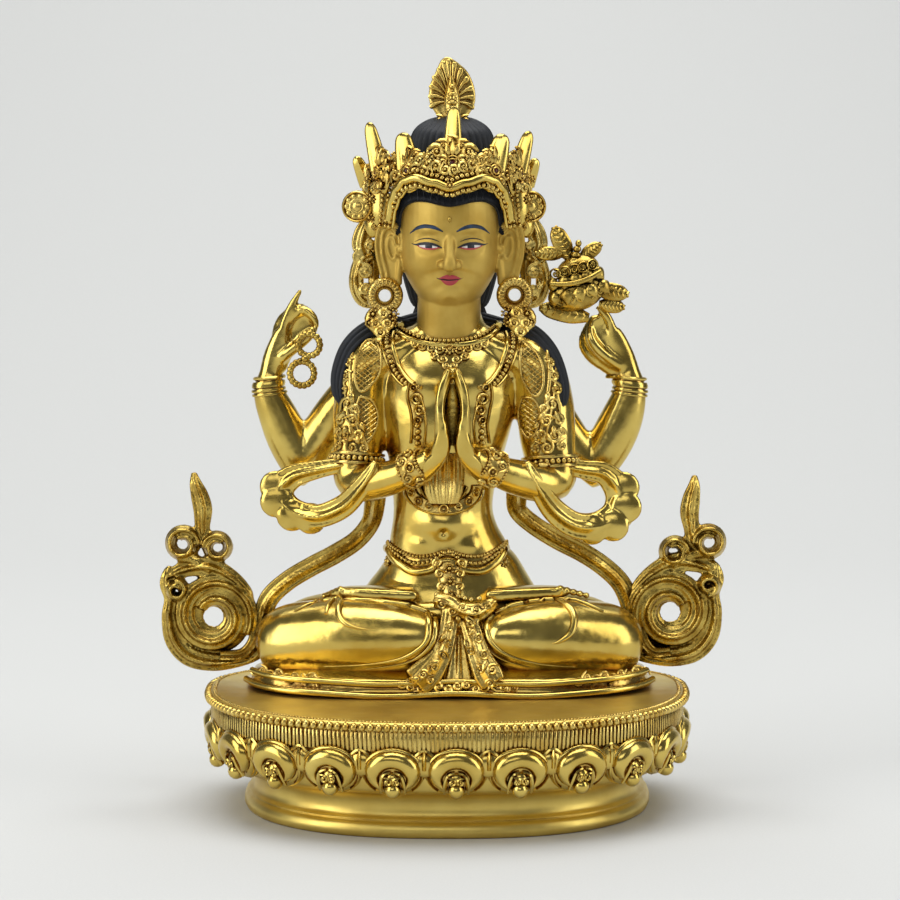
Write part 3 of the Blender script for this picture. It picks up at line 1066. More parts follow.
def buildNecklaces():
    shapes, smooth = [], []
    collar = [(-15.2, 107.9), (-13.6, 106.1), (-10.4, 104.6), (-5.6, 103.4), (0.8, 103), (7.1, 103.6),
        (11.4, 104.9), (15, 107.4)]
    shapes.append(beadsOn(bodyTree, collar, necklace["collarBead"], necklace["collarPitch"], lift=0.7))
    smooth.append(cordOn(bodyTree, [(x * 1.02, z - 1.35) for x, z in collar], 0.75, 0.55, lift=0.35, outline=box2,
        sides=10))
    smooth.append(backArc(72, (midline, 0.6), (15.2, 9.4), 107.4, 1, 0.8, 1.4, 10))
    shapes += scrollsOn(bodyTree, (
        (-9.4, 102, 1.2, 170, 1), (-7, 101.3, 1.35, 200, 1), (-4.5, 100.7, 1.5, 30, 1), (-1.9, 100.2, 1.7, 120, 1),
        (3.5, 100.2, 1.7, 60, -1), (6.1, 100.7, 1.5, 150, -1), (8.6, 101.3, 1.35, -20, -1), (11, 102, 1.2, 10, -1),
        (-3.4, 98.3, 1.3, 160, 1), (-1.1, 97.5, 1.4, 200, 1), (2.7, 97.5, 1.4, -20, -1), (5, 98.3, 1.3, 20, -1),
        (-0.2, 95.6, 1.1, 160, 1), (1.8, 95.6, 1.1, 20, -1),
    ), 1.25, 0.36, 0.9, lift=0.45)
    shapes += moved(rosette(1.7, 8), onSkin(bodyTree, midline, 100.2, lift=0.9))
    shapes += moved([ball((0, 0, 0), (1, 1.7, 0.8))], onSkin(bodyTree, midline, 92.6, lift=0.3))
    for k in range(9):
        x = mix(-11.6, 13.2, k / 8)
        shapes += moved([ball((0, 0, 0), (0.5, 0.5, 0.5), sides=8)],
                        onSkin(bodyTree, x, 102.9 - 1.6 * (1 - abs(k / 4 - 1)), lift=0.35))

    leftStrap = [(-15.2, 107.4), (-16, 103), (-15.3, 98.9), (-13.7, 95), (-11.4, 92), (-9.6, 90.6)]
    rightStrap = [(16.9, 107.4), (17.7, 103), (17, 98.9), (15.3, 95), (13.2, 92), (11.4, 90.4)]
    for rows in (leftStrap, rightStrap):
        side = -1 if rows[0][0] < 0 else 1
        smooth.append(cordOn(bodyTree, rows, 0.7, 0.7, lift=0.25, sides=10))
        shapes.append(beadsOn(bodyTree, [(x + side * 1.7, z - 0.4) for x, z in rows], necklace["strapBead"],
                              necklace["strapPitch"], lift=0.45))
        smooth.append(cordOn(bodyTree, [(x + side * 3, z - 0.8) for x, z in rows], 0.42, 0.5, lift=0.2))
    for x, z, size in ((-9.6, 89.4, 1.35), (-8.9, 86.2, 2), (-8, 82.9, 1.75), (-8.4, 79.8, 1.3), (11.2, 89.4, 1.35),
                       (10.5, 86.2, 2), (9.8, 82.9, 1.75), (10.2, 79.8, 1.3)):
        shapes += moved(bezel(size, 0.9), onSkin(bodyTree, x, z, lift=0.4, flat=0.3))
    for side, rows in ((-1, [(-10.8, 91), (-11.6, 87), (-10.6, 82), (-10.2, 78), (-10.6, 73)]),
                       (1, [(12.6, 91), (13.2, 87), (12.4, 82), (11.8, 78), (12.4, 73)])):
        smooth.append(cordOn(bodyTree, rows, 0.42, 0.55, lift=0.15))
        smooth.append(cordOn(bodyTree, [(x - side * 4, z) for x, z in rows[1:]], 0.4, 0.5, lift=0.15))
        shapes.append(beadsOn(bodyTree, [(rows[2][0] - side * 2, 78.2), (rows[3][0] - side * 1.8, 75.6),
            (rows[4][0] - side * 1.9, 71.6)], 0.9, 1.75, lift=0.4))
        for k in range(5):
            x, z = rows[1][0] - side * 3.4 + side * 0.2 * k, 89.4 - 3.6 * k
            shapes += moved(swirl(0.85, 1.2, 0.36, 70 * k, side, tail=0.8), onSkin(bodyTree, x, z, lift=0.25))
    # the hanging cloth behind the hands, and the jewelled band that closes it below
    shapes.append(loft([(-1, -11.6, 70, 6, 1.8), (-1, -11.8, 64, 6.2, 1.9), (-1, -12.2, 58.6, 5.6, 1.8),
        (-1, -12.2, 55.4, 4.2, 1.4)], sides=120, steps=3, outline=ridged(necklace["pleats"], 0.1)))
    lower = []
    for i in range(25):
        angle = pi * (1 + i / 24)
        lower.append((-1 + 9.6 * cos(angle), 60.4 + 7 * sin(angle)))
    smooth.append(cordOn(bodyTree, [(mix(-1, x, 1.18), z - 1.3) for x, z in lower], 0.5, 0.6, lift=0.4, steps=2))
    smooth.append(cordOn(bodyTree, [(mix(-1, x, 0.72), z + 1.8) for x, z in lower[2:-2]], 0.42, 0.6, lift=0.8,
        steps=2))
    shapes.append(cordOn(bodyTree, lower, 1.7, 0.7, lift=0.25, steps=2, outline=box2))
    for k in range(7):
        angle = pi * (1.08 + 0.84 * k / 6)
        x, z = -1 + 9.4 * cos(angle), 60.2 + 6.8 * sin(angle)
        template = bezel(1.75 if k == 3 else 1.45, 0.8) if k % 2 else swirl(1.35, 1.3, 0.42, 90, 1 if k < 3 else -1)
        shapes += moved(template, onSkin(bodyTree, x, z, lift=1, flat=0.2))
    addPiece("necklaces", shapes, relief)
    addPiece("garmentEdges", smooth, bright)


print("stage: necklaces")
buildNecklaces()


def leafPanel(edge, ribs, shapes):
    # a leaf-shaped panel of crossed lines inside a raised edge; edge is a closed line of (x, z)
    shapes.append(cordOn(bodyTree, edge + [edge[0]], 0.42, 0.4, lift=0.12, steps=4))
    xs, zs = [p[0] for p in edge], [p[1] for p in edge]
    middle = Vector(((min(xs) + max(xs)) / 2, (min(zs) + max(zs)) / 2))
    outline = [Vector(p[:2]) for p in smoothPath(edge + [edge[0]], 4)]

    def inside(point):
        odd = False
        for a, b in zip(outline, outline[1:] + outline[:1]):
            if (a.y > point.y) != (b.y > point.y) and point.x < (b.x - a.x) * (point.y - a.y) / (b.y - a.y) + a.x:
                odd = not odd
        return odd

    for degrees in (38, -38):
        way = Vector((cos(radians(degrees)), sin(radians(degrees))))
        across = Vector((-way.y, way.x))
        for k in range(-9, 10):
            start = middle + across * (k * ribs)
            run = [start + way * (t * 0.4) for t in range(-26, 27) if inside(start + way * (t * 0.4))]
            if len(run) > 4:
                ends = [tuple(run[0]), tuple(run[len(run) // 2]), tuple(run[-1])]
                shapes.append(cordOn(bodyTree, ends, 0.17, 0.22, lift=0.08, steps=3, sides=5))


armTree = treeOf(plain([loft(rows, sides=24, steps=6) for rows in frontArmRows]))


def cuff(tree, middle, axis, half, reach, ornate, lines, count=11, size=1.5):
    # a raised band round a limb with rings and scrolls on it, and a bead row along each edge
    middle, axis = Vector(middle), Vector(axis).normalized()
    lines.append(bandRound(tree, middle, axis, half, 0.55, lift=0.25, reach=reach, count=28))
    for along in (-half, half):
        ornate.append(beadsRound(tree, middle + axis * along, axis, 0.5, 1, lift=0.45, reach=reach, count=36))
    for k in range(count):
        shift = 0.35 * half if k % 2 else -0.4 * half
        spot, normal = around(tree, middle + axis * shift, axis, reach, count)[k]
        template = bezel(size, 0.8) if k % 2 else swirl(size, 1.3, 0.45, 50 * k, 1, tail=size * 0.8)
        ornate += moved(template, laid(spot, normal, lift=0.85, up=axis))


def buildSleeves():
    lines, ornate = [], []
    panels = ([(-21.2, 103), (-19.4, 99), (-19.9, 93.5), (-22.8, 89.4), (-25.6, 88.2), (-27.2, 92.5), (-26.4, 98.6),
        (-24, 102.6)], [(-25.6, 86.6), (-22.4, 85.6), (-20.6, 82), (-20.9, 77.4), (-23.6, 73), (-25.6, 77.6),
        (-26.6, 83)], [(22.2, 102.6), (25.8, 100.2), (28, 95.6), (28.2, 89.6), (25.8, 86.6), (22.6, 90.8),
        (21.4, 96.6)], [(22.2, 86.2), (25.6, 85.6), (27.4, 81.2), (26.4, 76.6), (24.2, 74), (21.8, 77.4),
        (21.2, 82)])
    for edge in panels:
        leafPanel(edge, 1.15, lines)
    for rows in ([(-27.8, 101), (-28.6, 94), (-28, 87), (-26.8, 80), (-24.8, 73), (-23.8, 70)],
                 [(29.4, 101), (30.2, 94), (29.6, 87), (28.4, 80), (26.8, 73), (25.8, 70)]):
        side = -1 if rows[0][0] < 0 else 1
        lines.append(cordOn(bodyTree, rows, 0.65, 0.6))
        lines.append(cordOn(bodyTree, [(x + side * 1.8, z) for x, z in rows[:5]], 0.45, 0.55, lift=0.15))
        for k in range(4):
            spot = rows[k + 1]
            lines.append(cordOn(bodyTree, [(spot[0] - 0.7, spot[1] + 0.3), (spot[0] + 0.7, spot[1] - 0.3)], 0.45,
                0.6, lift=0.15, steps=2))
    scrolls = []
    for side, shift in ((-1, 0), (1, 1.6)):
        for x, z, size, spin, hand in ((30.6, 84.4, 2.2, 0, 1), (32.6, 79.8, 1.9, 150, -1), (29, 79.4, 1.9, 60, 1),
                (31.4, 75.2, 2.2, 200, 1), (27.6, 75.4, 1.7, 300, -1), (33.4, 72.2, 1.6, 100, 1),
                (29.2, 71.6, 1.9, 20, -1), (26, 71.4, 1.5, 120, 1), (31.8, 88.8, 1.8, 70, -1),
                (31.2, 92.8, 1.5, 250, 1), (28.4, 83, 1.3, 200, -1), (33.2, 76.2, 1.3, 20, 1),
                (30.2, 96.4, 1.2, 90, -1)):
            scrolls.append((side * (x - 1.4) + shift, z, size, spin if side > 0 else 180 - spin, hand * side))
    ornate += scrollsOn(bodyTree, scrolls, 1.35, 0.52, 1.2, flat=0.15)
    for side, shift in ((-1, 0), (1, 1.6)):
        for x, z, length, spin in ((28.6, 82.4, 3.8, 150), (31.6, 82.2, 3.8, 210), (30.2, 73.4, 3.4, 30),
                (27.4, 72.8, 3, -20), (29.6, 88, 3.6, 170), (31, 78, 3.4, 190), (26.8, 79, 3, 150)):
            ornate += moved([leaf(length, 0.9, 0.7, bend=0.6)], onSkin(bodyTree, side * (x - 1.4) + shift, z,
                spin=side * spin, lift=0.25))
    for middle, axis in (((-26.6, -3, 67.8), (0.05, 0.12, 1)), ((30.6, -3, 66.8), (-0.05, 0.12, 1))):
        ornate.append(beadsRound(armTree, middle, axis, 0.85, 1.72, lift=0.75, reach=12))
        for rise in (-1.35, 1.35):
            spot = Vector(middle) + Vector(axis) * rise
            lines.append(bandRound(armTree, spot, axis, 0.45, 0.6, lift=0.45, reach=12))
    for side, middle in ((-1, (-9.4, -16.9, 66.8)), (1, (12.4, -16.9, 66.8))):  # bracelets
        cuff(armTree, middle, (-side * 0.80, -0.42, 0.42), 3, 9, ornate, lines, count=13, size=1.6)
    addPiece("sleeveLines", lines, relief)
    addPiece("sleeveScrolls", ornate, relief)


print("stage: sleeves")
buildSleeves()


def rearBracelets():
    shapes = []
    for middle, axis in (((-53.3, 8.2, 89.4), (-0.12, 0, 1)), ((54.7, 8.2, 89.4), (0.12, 0, 1))):
        for rise, wide, high in ((0, 1, 0.75), (1.8, 0.5, 1), (-1.7, 0.5, 0.7), (-2.9, 0.45, 0.5)):
            spot = Vector(middle) + Vector(axis) * rise
            shapes.append(bandRound(rearTree, spot, axis, wide, high, reach=7.5))
    addPiece("rearBracelets", shapes, bright)


rearBracelets()
addPiece("torsoAndFrontArms", bodyMesh, bright)
addPiece("joinedHands", handsMesh, bright)
addPiece("palmHollow", palmHollow, aged)
addPiece("rearArms", rearMesh, bright)


# Head

headForm = {
    "grain": 0.36, "rounds": 4,
    "eyeLevel": 131, "eyeApart": 6.2, "eyeHalf": 3.45,
    "mouthLevel": 120.95,
}


def headMesh():
    x = midline
    rows = [
        (x, -10.4, 114.2, 2.2, 2.4), (x, -9.6, 114.8, 4.8, 5), (x, -8, 116.4, 8, 8.2), (x, -5.8, 119.4, 11.1, 10.7),
        (x, -4, 124.2, 13.7, 12.8), (x, -2.8, 130.4, 14.6, 14), (x, -2, 136.6, 14.9, 14.8),
        (x, -1.4, 143, 14.7, 15), (x, -0.6, 149, 13.4, 14), (x, 0, 154, 9.8, 11), (x, 0.4, 157, 4, 5),
    ]
    shapes = [loft(rows, sides=48, steps=5)]
    shapes.append(loft([(0.6, 0.8, 98, 10.4, 8.4), (0.6, 0.2, 105, 9.8, 8.3), (0.6, -0.6, 111, 9.4, 8.6),
        (0.7, -1.6, 121, 9.8, 9.8)], sides=36))
    shapes.append(loft([(x, -15.2, 134.8, 1.3, 1.2), (x, -16.6, 131.4, 1.4, 1.5), (x, -18, 128.4, 1.5, 1.6),
        (x, -19, 125.9, 1.95, 1.7), (x, -18.4, 124.4, 1.8, 1.3), (x, -16.6, 123.8, 1.2, 0.8)], sides=16, steps=5))
    for side in (-1, 1):
        shapes.append(ball((x + side * 2.1, -16.6, 125.2), (1.5, 2, 1.4), sides=14))
    return shapes


def ears():
    # long ears: a rolled rim round a hollow, and a drawn-out lobe
    shapes = []
    for side in (-1, 1):
        place = standing(midline + side * 17.4, -4.6, 130.4, yaw=side * 14)

        def line(points, wide, high, level):
            return loft([(side * a, b, level, wide, high) for a, b in points], facing=out, sides=10, steps=6)
        parts = [loft([(side * 0.6, 6.2, -0.9, 2.2, 1), (side * 0.4, 2, -0.9, 4, 1.2),
            (side * 0, -3, -0.9, 3.6, 1.2), (-side * 0.4, -8, -0.8, 3, 1.2), (-side * 0.4, -11, -0.8, 2.8, 1.2)],
            facing=out, sides=20, outline=box2), line([(-3.6, -1), (-3.6, 3), (-2, 6.4), (0.9, 7.3), (3.2, 5.6),
            (4.1, 1.6), (3.7, -3), (2.6, -7.4), (2, -11.4)], 0.75, 1, 0.5),
            line([(-2, 3.6), (-0.6, 5.4), (1.2, 5.4), (2.2, 3.6), (2.5, 0.4), (2.1, -3.4), (1, -7.4), (0.6, -11)],
            0.5, 0.7, 0.4), line([(-1.7, 0.6), (-1, 2.8), (0.3, 2.8), (0.8, 0.4), (0.2, -2.4), (-1, -3.6),
            (-1.9, -2.6)], 0.42, 0.55, 0.4), ball((-side * 2.7, -0.6, 0.4), (0.8, 1.3, 0.7)),
            loft([(-side * 2.9, -3.4, 0, 0.9, 0.9), (-side * 2.6, -7.4, 0, 0.9, 0.9),
            (-side * 2.2, -11.4, 0, 0.8, 0.8)], facing=out, sides=10)]
        shapes += moved(parts, place)
    return shapes


def sculptFace(mesh):
    x = midline
    level, apart = headForm["eyeLevel"], headForm["eyeApart"]
    moves = [((x, -18, 139), (12, 9, 7), (0, -0.3, 0))]  # an even brow
    for side in (-1, 1):
        e = x + side * apart
        moves += [
            ((e, -16, level + 0.2), (5.8, 6, 4.2), (0, 1.4, 0)),  # socket
            ((e, -16, level + 0.3), (4.3, 5, 2.9), (0, -1.7, 0)),  # the half-closed lid over the ball
            ((e, -16, level + 4.4), (6, 5, 1.8), (0, -0.7, 0)),  # brow
            ((x + side * 8, -12, 125.4), (9.5, 10, 10), (side * 0.3, -0.7, 0)),  # cheek
            ((x + side * 5, -15.5, 121), (2.4, 5, 2.6), (0, 0.25, 0)),  # corner of the mouth
        ]
    moves += [
        ((x, -15, 120.4), (10.5, 10, 9.5), (0, -0.8, 0)),  # the mouth's swell
        ((x, -17.5, 123), (0.9, 4, 1.3), (0, 0.35, 0)),  # groove above the lip
        ((x, -17.5, 121), (3.5, 4, 0.5), (0, 0.65, 0)),  # parting of the lips
        ((x, -17.5, 121.9), (3.1, 4, 1), (0, -0.5, 0)),
        ((x, -17.5, 119.9), (2.6, 4, 1.2), (0, -0.65, 0)),
        ((x, -16.5, 118), (3.6, 4, 1.3), (0, 0.4, 0)),
        ((x, -12, 116.2), (6.5, 8, 3.6), (0, -1.2, 0)),  # chin
    ]
    return pushed(mesh, moves)


print("stage: head")
faceMesh = thinned(sculptFace(fused(headMesh() + ears(), headForm["grain"], headForm["rounds"])), 0.5)
faceTree = treeOf(faceMesh)
skullTree = treeOf(plain(headMesh()))
addPiece("headAndNeck", faceMesh, facePaint)


def patch(low, high, lift=0.09, across=20):
    # a layer of paint on the face between two lines of (x, z)
    shape = bmesh.new()
    bmesh.ops.create_grid(shape, x_segments=across, y_segments=4, size=0.5)
    below, above = smoothPath(low, 8), smoothPath(high, 8)

    def along(line, share):
        place = share * (len(line) - 1)
        i = min(int(place), len(line) - 2)
        return Vector(line[i]).lerp(Vector(line[i + 1]), place - i)

    for point in shape.verts:
        u, v = min(max(point.co.x + 0.5, 0), 1), min(max(point.co.y + 0.5, 0), 1)
        flat = along(below, u).lerp(along(above, u), v)
        spot, normal = fromFront(faceTree, flat.x, flat.y)
        edge = min(1, 6 * v * (1 - v) + 0.1, 14 * u * (1 - u) + 0.1)
        point.co = spot + normal * (lift * edge)
    made = bmesh.ops.extrude_face_region(shape, geom=shape.faces[:])
    bmesh.ops.translate(shape, vec=(0, 0.5, 0), verts=pointsOf(made))
    bmesh.ops.remove_doubles(shape, verts=shape.verts, dist=1e-5)
    bmesh.ops.recalc_face_normals(shape, faces=shape.faces)
    return shape


def brushLine(points, width, lift=0.1):
    return cordOn(faceTree, points, width, 0.16, lift=lift, steps=6, sides=6, taper=True)


def paintFace():
    level, apart, half = headForm["eyeLevel"] - 0.4, headForm["eyeApart"], headForm["eyeHalf"]
    brows, whites, lines, reds, lids, irises = [], [], [], [], [], []
    for side in (-1, 1):
        def at(x, z):
            return (midline + side * (apart + x), level + z)
        top = [at(-half, -0.25), at(-1.9, 0.45), at(0.2, 0.8), at(2, 0.75), at(half, 0.4)]
        low = [at(-half, -0.25), at(-1.7, -0.7), at(0.2, -0.75), at(2, -0.4), at(half, 0.4)]
        whites.append(patch(low, top))
        irises.append(patch([at(-1.2, -0.62), at(-0.1, -0.78), at(1, -0.6)],
            [at(-1.2, 0.6), at(-0.1, 0.76), at(1, 0.78)], lift=0.15, across=8))
        lines.append(patch([at(-0.6, -0.4), at(-0.1, -0.46), at(0.4, -0.4)],
            [at(-0.6, 0.3), at(-0.1, 0.4), at(0.4, 0.36)], lift=0.2, across=4))
        lines.append(brushLine([at(-half - 0.5, -0.45), *top[1:4], at(half + 0.2, 0.5), at(half + 1.4, 0.9)], 0.5,
            lift=0.16))
        lids.append(brushLine([at(-half - 0.1, -0.3), *low[1:4], at(half + 0.2, 0.4)], 0.3, lift=0.14))
        lids.append(patch([at(-half, -0.3), at(-half + 0.5, -0.5), at(-half + 0.9, -0.55)],
            [at(-half, -0.1), at(-half + 0.5, 0.2), at(-half + 0.9, 0.35)], lift=0.14, across=4))
        lids.append(patch([at(half - 0.9, -0.1), at(half - 0.5, 0.05), at(half, 0.35)],
            [at(half - 0.9, 0.8), at(half - 0.5, 0.65), at(half, 0.45)], lift=0.14, across=4))
        lines.append(brushLine([at(-half + 0.3, 1.35), at(-1.3, 2.05), at(0.6, 2.3), at(2.5, 2),
            at(half + 0.6, 1.3)], 0.18))
        brows.append(patch([at(-half - 0.8, 4), at(-1.9, 4.85), at(0.8, 5.25), at(3.3, 4.8), at(half + 2, 3.6)],
            [at(-half - 0.8, 4.45), at(-1.9, 5.9), at(0.8, 6.4), at(3.3, 5.8), at(half + 2, 3.9)], lift=0.16))
    mouth = headForm["mouthLevel"]

    def lip(x, z):
        return (midline + x, mouth + z)
    reds.append(patch([lip(-3.3, 0.2), lip(-1.6, 0), lip(0, -0.12), lip(1.6, 0), lip(3.3, 0.2)],
        [lip(-3.3, 0.35), lip(-1.7, 1.15), lip(-0.6, 1.4), lip(0, 1.15), lip(0.6, 1.4), lip(1.7, 1.15),
        lip(3.3, 0.35)], lift=0.12))
    reds.append(patch([lip(-2.7, -0.1), lip(-1.3, -1.4), lip(0, -1.75), lip(1.3, -1.4), lip(2.7, -0.1)],
        [lip(-2.7, 0.02), lip(-1.3, -0.12), lip(0, -0.24), lip(1.3, -0.12), lip(2.7, 0.02)], lift=0.14))
    lines.append(brushLine([lip(-3.8, 0.6), lip(-3.2, 0.25), lip(-1.5, 0.02), lip(0, -0.12), lip(1.5, 0.02),
        lip(3.2, 0.25), lip(3.8, 0.6)], 0.16, lift=0.14))
    for name, shapes, paint in (("browPaint", brows, browPaint), ("eyeWhitePaint", whites, eyePaint),
                                ("eyeLinePaint", lines, linePaint), ("lidPaint", lids, lidPaint),
                                ("irisPaint", irises, irisPaint), ("lipPaint", reds, redPaint)):
        addPiece(name, shapes, paint)
    urna = moved([ball((0, 0, 0), (0.55, 0.85, 0.4), sides=16)], onSkin(faceTree, midline, 138.4, lift=0.1))
    addPiece("urna", urna, aged)


paintFace()
print("stage: face painted")


# Hair

def combed(rows, count, thick, facing=front, sides=64, steps=8):
    # a lock whose section is scalloped into strands
    def outline(angle):
        swell = 1 + thick * abs(sin(count * angle / 2))
        return cos(angle) * swell, sin(angle) * swell
    return loft(rows, facing=facing, sides=sides, steps=steps, outline=outline)


hairForm = {"knotStrands": 34, "lockStrands": 12, "fallStrands": 26, "capStrands": 36,
            "knotComb": 0.06, "lockComb": 0.16, "capComb": 0.04}


def buildHair():
    x = midline
    shapes = []
    cap = ball((x, -0.6, 143.5), (15.6, 15.6, 14.2), sides=64)
    geometry = cap.verts[:] + cap.edges[:] + cap.faces[:]
    cut = bmesh.ops.bisect_plane(cap, geom=geometry, dist=1e-5, plane_co=(x, -8, 143.6), plane_no=(0, -0.62, -1),
        clear_outer=True)
    bmesh.ops.edgeloop_fill(cap, edges=[g for g in cut["geom_cut"] if isinstance(g, bmesh.types.BMEdge)])
    bmesh.ops.recalc_face_normals(cap, faces=cap.faces)
    shapes.append(cap)
    # the band of combed hair over the brow, dipping in the middle and falling at the temples
    hairline = [(-13.2, 134.4), (-13.4, 138.4), (-12.4, 141.6), (-9.6, 143.3), (-6, 143.3), (-2.4, 142.4),
        (x, 141.9), (4, 142.4), (7.6, 143.3), (11.2, 143.3), (14, 141.6), (15, 138.4), (14.8, 134.4)]
    line = smoothPath(hairline, 10)
    found = []
    for i, (px, pz) in enumerate(line):
        spot, normal = fromFront(skullTree, px, pz)
        a, b = line[max(i - 1, 0)], line[min(i + 1, len(line) - 1)]
        away = Vector((-(b[1] - a[1]), 0, b[0] - a[0])).normalized()
        away = (away - normal * away.dot(normal)).normalized()
        high = mix(1, 2.7, min(1, max(0, (pz - 134.4) / 6)))
        found.append((spot, normal, away, high))
    shapes.append(loft([(*(spot + away * high), high, 1.2, *normal) for spot, normal, away, high in found], steps=1,
        outline=box2))
    for spot, normal, away, high in found:
        shapes.append(loft([(*(spot + normal * 0.8 + away * 0.05), 0.1, 0.15, *normal),
            (*(spot + normal * 1.2 + away * high * 0.7), 0.16, 0.4, *normal),
            (*(spot + normal * 1.2 + away * high * 1.4), 0.16, 0.4, *normal),
            (*(spot + normal * 0.8 + away * high * 1.95), 0.12, 0.2, *normal)], sides=5, steps=1))
    knot = [(1.5, 3, 149, 8.5, 8.5), (1.5, 3, 152.5, 10.8, 10), (1.5, 3, 157, 12.2, 11), (1.5, 3, 161.5, 12, 10.8),
        (1.5, 2.8, 165.2, 10.6, 9.4), (1.5, 2.4, 167.8, 7.2, 6.4), (1.5, 2.2, 169, 3, 2.8), (1.5, 2.2, 169.2, 1, 1)]
    shapes.append(combed(knot, hairForm["knotStrands"], hairForm["knotComb"], sides=136, steps=4))
    for rows in ([(-12, 6, 106.5, 2.4, 2.4), (-17.6, 3.6, 106.8, 2.9, 2.6), (-23.6, -0.6, 105, 3, 2.5),
            (-28.6, -3.4, 100.4, 2.8, 2.2), (-31.4, -5, 93.4, 2.5, 2), (-31.8, -6, 87.6, 1.9, 1.6),
            (-30.6, -6.8, 83.6, 0.5, 0.7)], [(13.6, 6, 106, 2.4, 2.4), (19.2, 3.6, 106.2, 2.9, 2.6),
            (25.2, -0.6, 104, 3, 2.5), (30, -3.4, 99, 2.8, 2.2), (33, -5, 91.6, 2.5, 2), (33.8, -6, 86, 1.9, 1.6),
            (33.2, -6.8, 81.8, 0.5, 0.7)]):
        shapes.append(combed(rows, hairForm["lockStrands"], hairForm["lockComb"], sides=60))
    fall = [(x, 11, 154, 8.6, 3.6), (x, 12.4, 146, 10.2, 3.8), (x, 12, 134, 10, 4), (x, 12, 122, 9.4, 4),
        (x, 12, 114, 9.6, 4.2), (x, 12.6, 106, 12, 3.6), (x, 13, 97, 12, 2.8), (x, 13, 90, 8.6, 2),
        (x, 12.8, 85.4, 3.2, 1.2)]
    shapes.append(combed(fall, hairForm["fallStrands"], hairForm["knotComb"], sides=104, steps=5))
    shapes.append(combed([(x, 2.6, 111, 6, 5), (x, 3, 113, 10.6, 8.6), (x, 3, 118, 12.6, 10), (x, 3, 124, 14, 11),
        (x, 3, 131, 15, 12.2), (x, 3, 138, 15.4, 12.4), (x, 2.4, 144, 15.2, 12.6), (x, 1.4, 150, 13.6, 12.2),
        (x, 1, 152, 8, 8)], hairForm["capStrands"], hairForm["capComb"], sides=108, steps=4))
    for side in (-1, 1):
        shapes.append(combed([(x + side * 6, 11, 108, 3.2, 3.4), (x + side * 11, 9, 107, 3.2, 3.2),
            (x + side * 15, 5, 106.6, 2.6, 2.6)], 12, 0.12, facing=upward, sides=48))
    addPiece("hair", shapes, hairPaint)


print("stage: hair")
buildHair()


# Crown and finial

crownForm = {"reachX": 18.8, "reachY": 16.4, "y": -1.0, "ribbonGrain": 0.36, "scrollGap": 8}


def crownSpot(degrees, z, lift=0):
    # a place on the crown's oval, degrees from the front, and the way it faces
    angle = radians(degrees)
    spot = Vector((midline + (crownForm["reachX"] + lift) * sin(angle), crownForm["y"]
        - (crownForm["reachY"] + lift) * cos(angle), z))
    return spot, Vector((sin(angle), -cos(angle), 0.12)).normalized()


def eased(points, place):
    # reads a height off a smooth line of (place, height) points
    for (a0, z0), (a1, z1) in zip(points, points[1:]):
        if place <= a1:
            share = (place - a0) / (a1 - a0)
            return mix(z0, z1, share * share * (3 - 2 * share))
    return points[-1][1]


def crownRim(degrees):
    # how high the waved rim runs: two humps over the brow, a dip in the middle, then straight down to the ears
    return eased([(0, 147.4), (14, 148.9), (30, 150.4), (42, 149.6), (52, 147.2), (60, 143.6), (66, 138.4)],
        abs(degrees))


def crownTop(degrees):
    return eased([(0, 147.4), (14, 148.9), (30, 150.4), (44, 150), (70, 149), (180, 147)], abs(degrees))


def crownLoft(level, rise, width, depth, lift, last=66, count=90, outline=None):
    rows = []
    for i in range(count + 1):
        degrees = mix(-last, last, i / count)
        spot, facing = crownSpot(degrees, level(degrees) + rise, lift)
        rows.append((*spot, width, depth, *facing))
    return loft(rows, sides=10, steps=1, outline=outline)


def crownBeads(level, rise, radius, lift, last=66):
    spots = []
    for i in range(181):
        degrees = mix(-last, last, i / 180)
        spots.append(crownSpot(degrees, level(degrees) + rise, lift)[0])
    return stringBeads(spots, radius, radius * 2.05)


def spike(spot, tip, wide, deep):
    # a blunt finger-like flame with a groove down its face
    spot, tip = Vector(spot), Vector(tip)
    rows = [(*spot, wide * 1.3, deep), (*spot.lerp(tip, 0.35), wide * 1.15, deep * 0.95),
            (*spot.lerp(tip, 0.65), wide * 0.98, deep * 0.9), (*spot.lerp(tip, 0.85), wide * 0.8, deep * 0.8),
            (*spot.lerp(tip, 0.96), wide * 0.48, deep * 0.6), (*tip, wide * 0.14, deep * 0.2)]
    return loft(rows, sides=20, outline=ridged(2, 0.16))


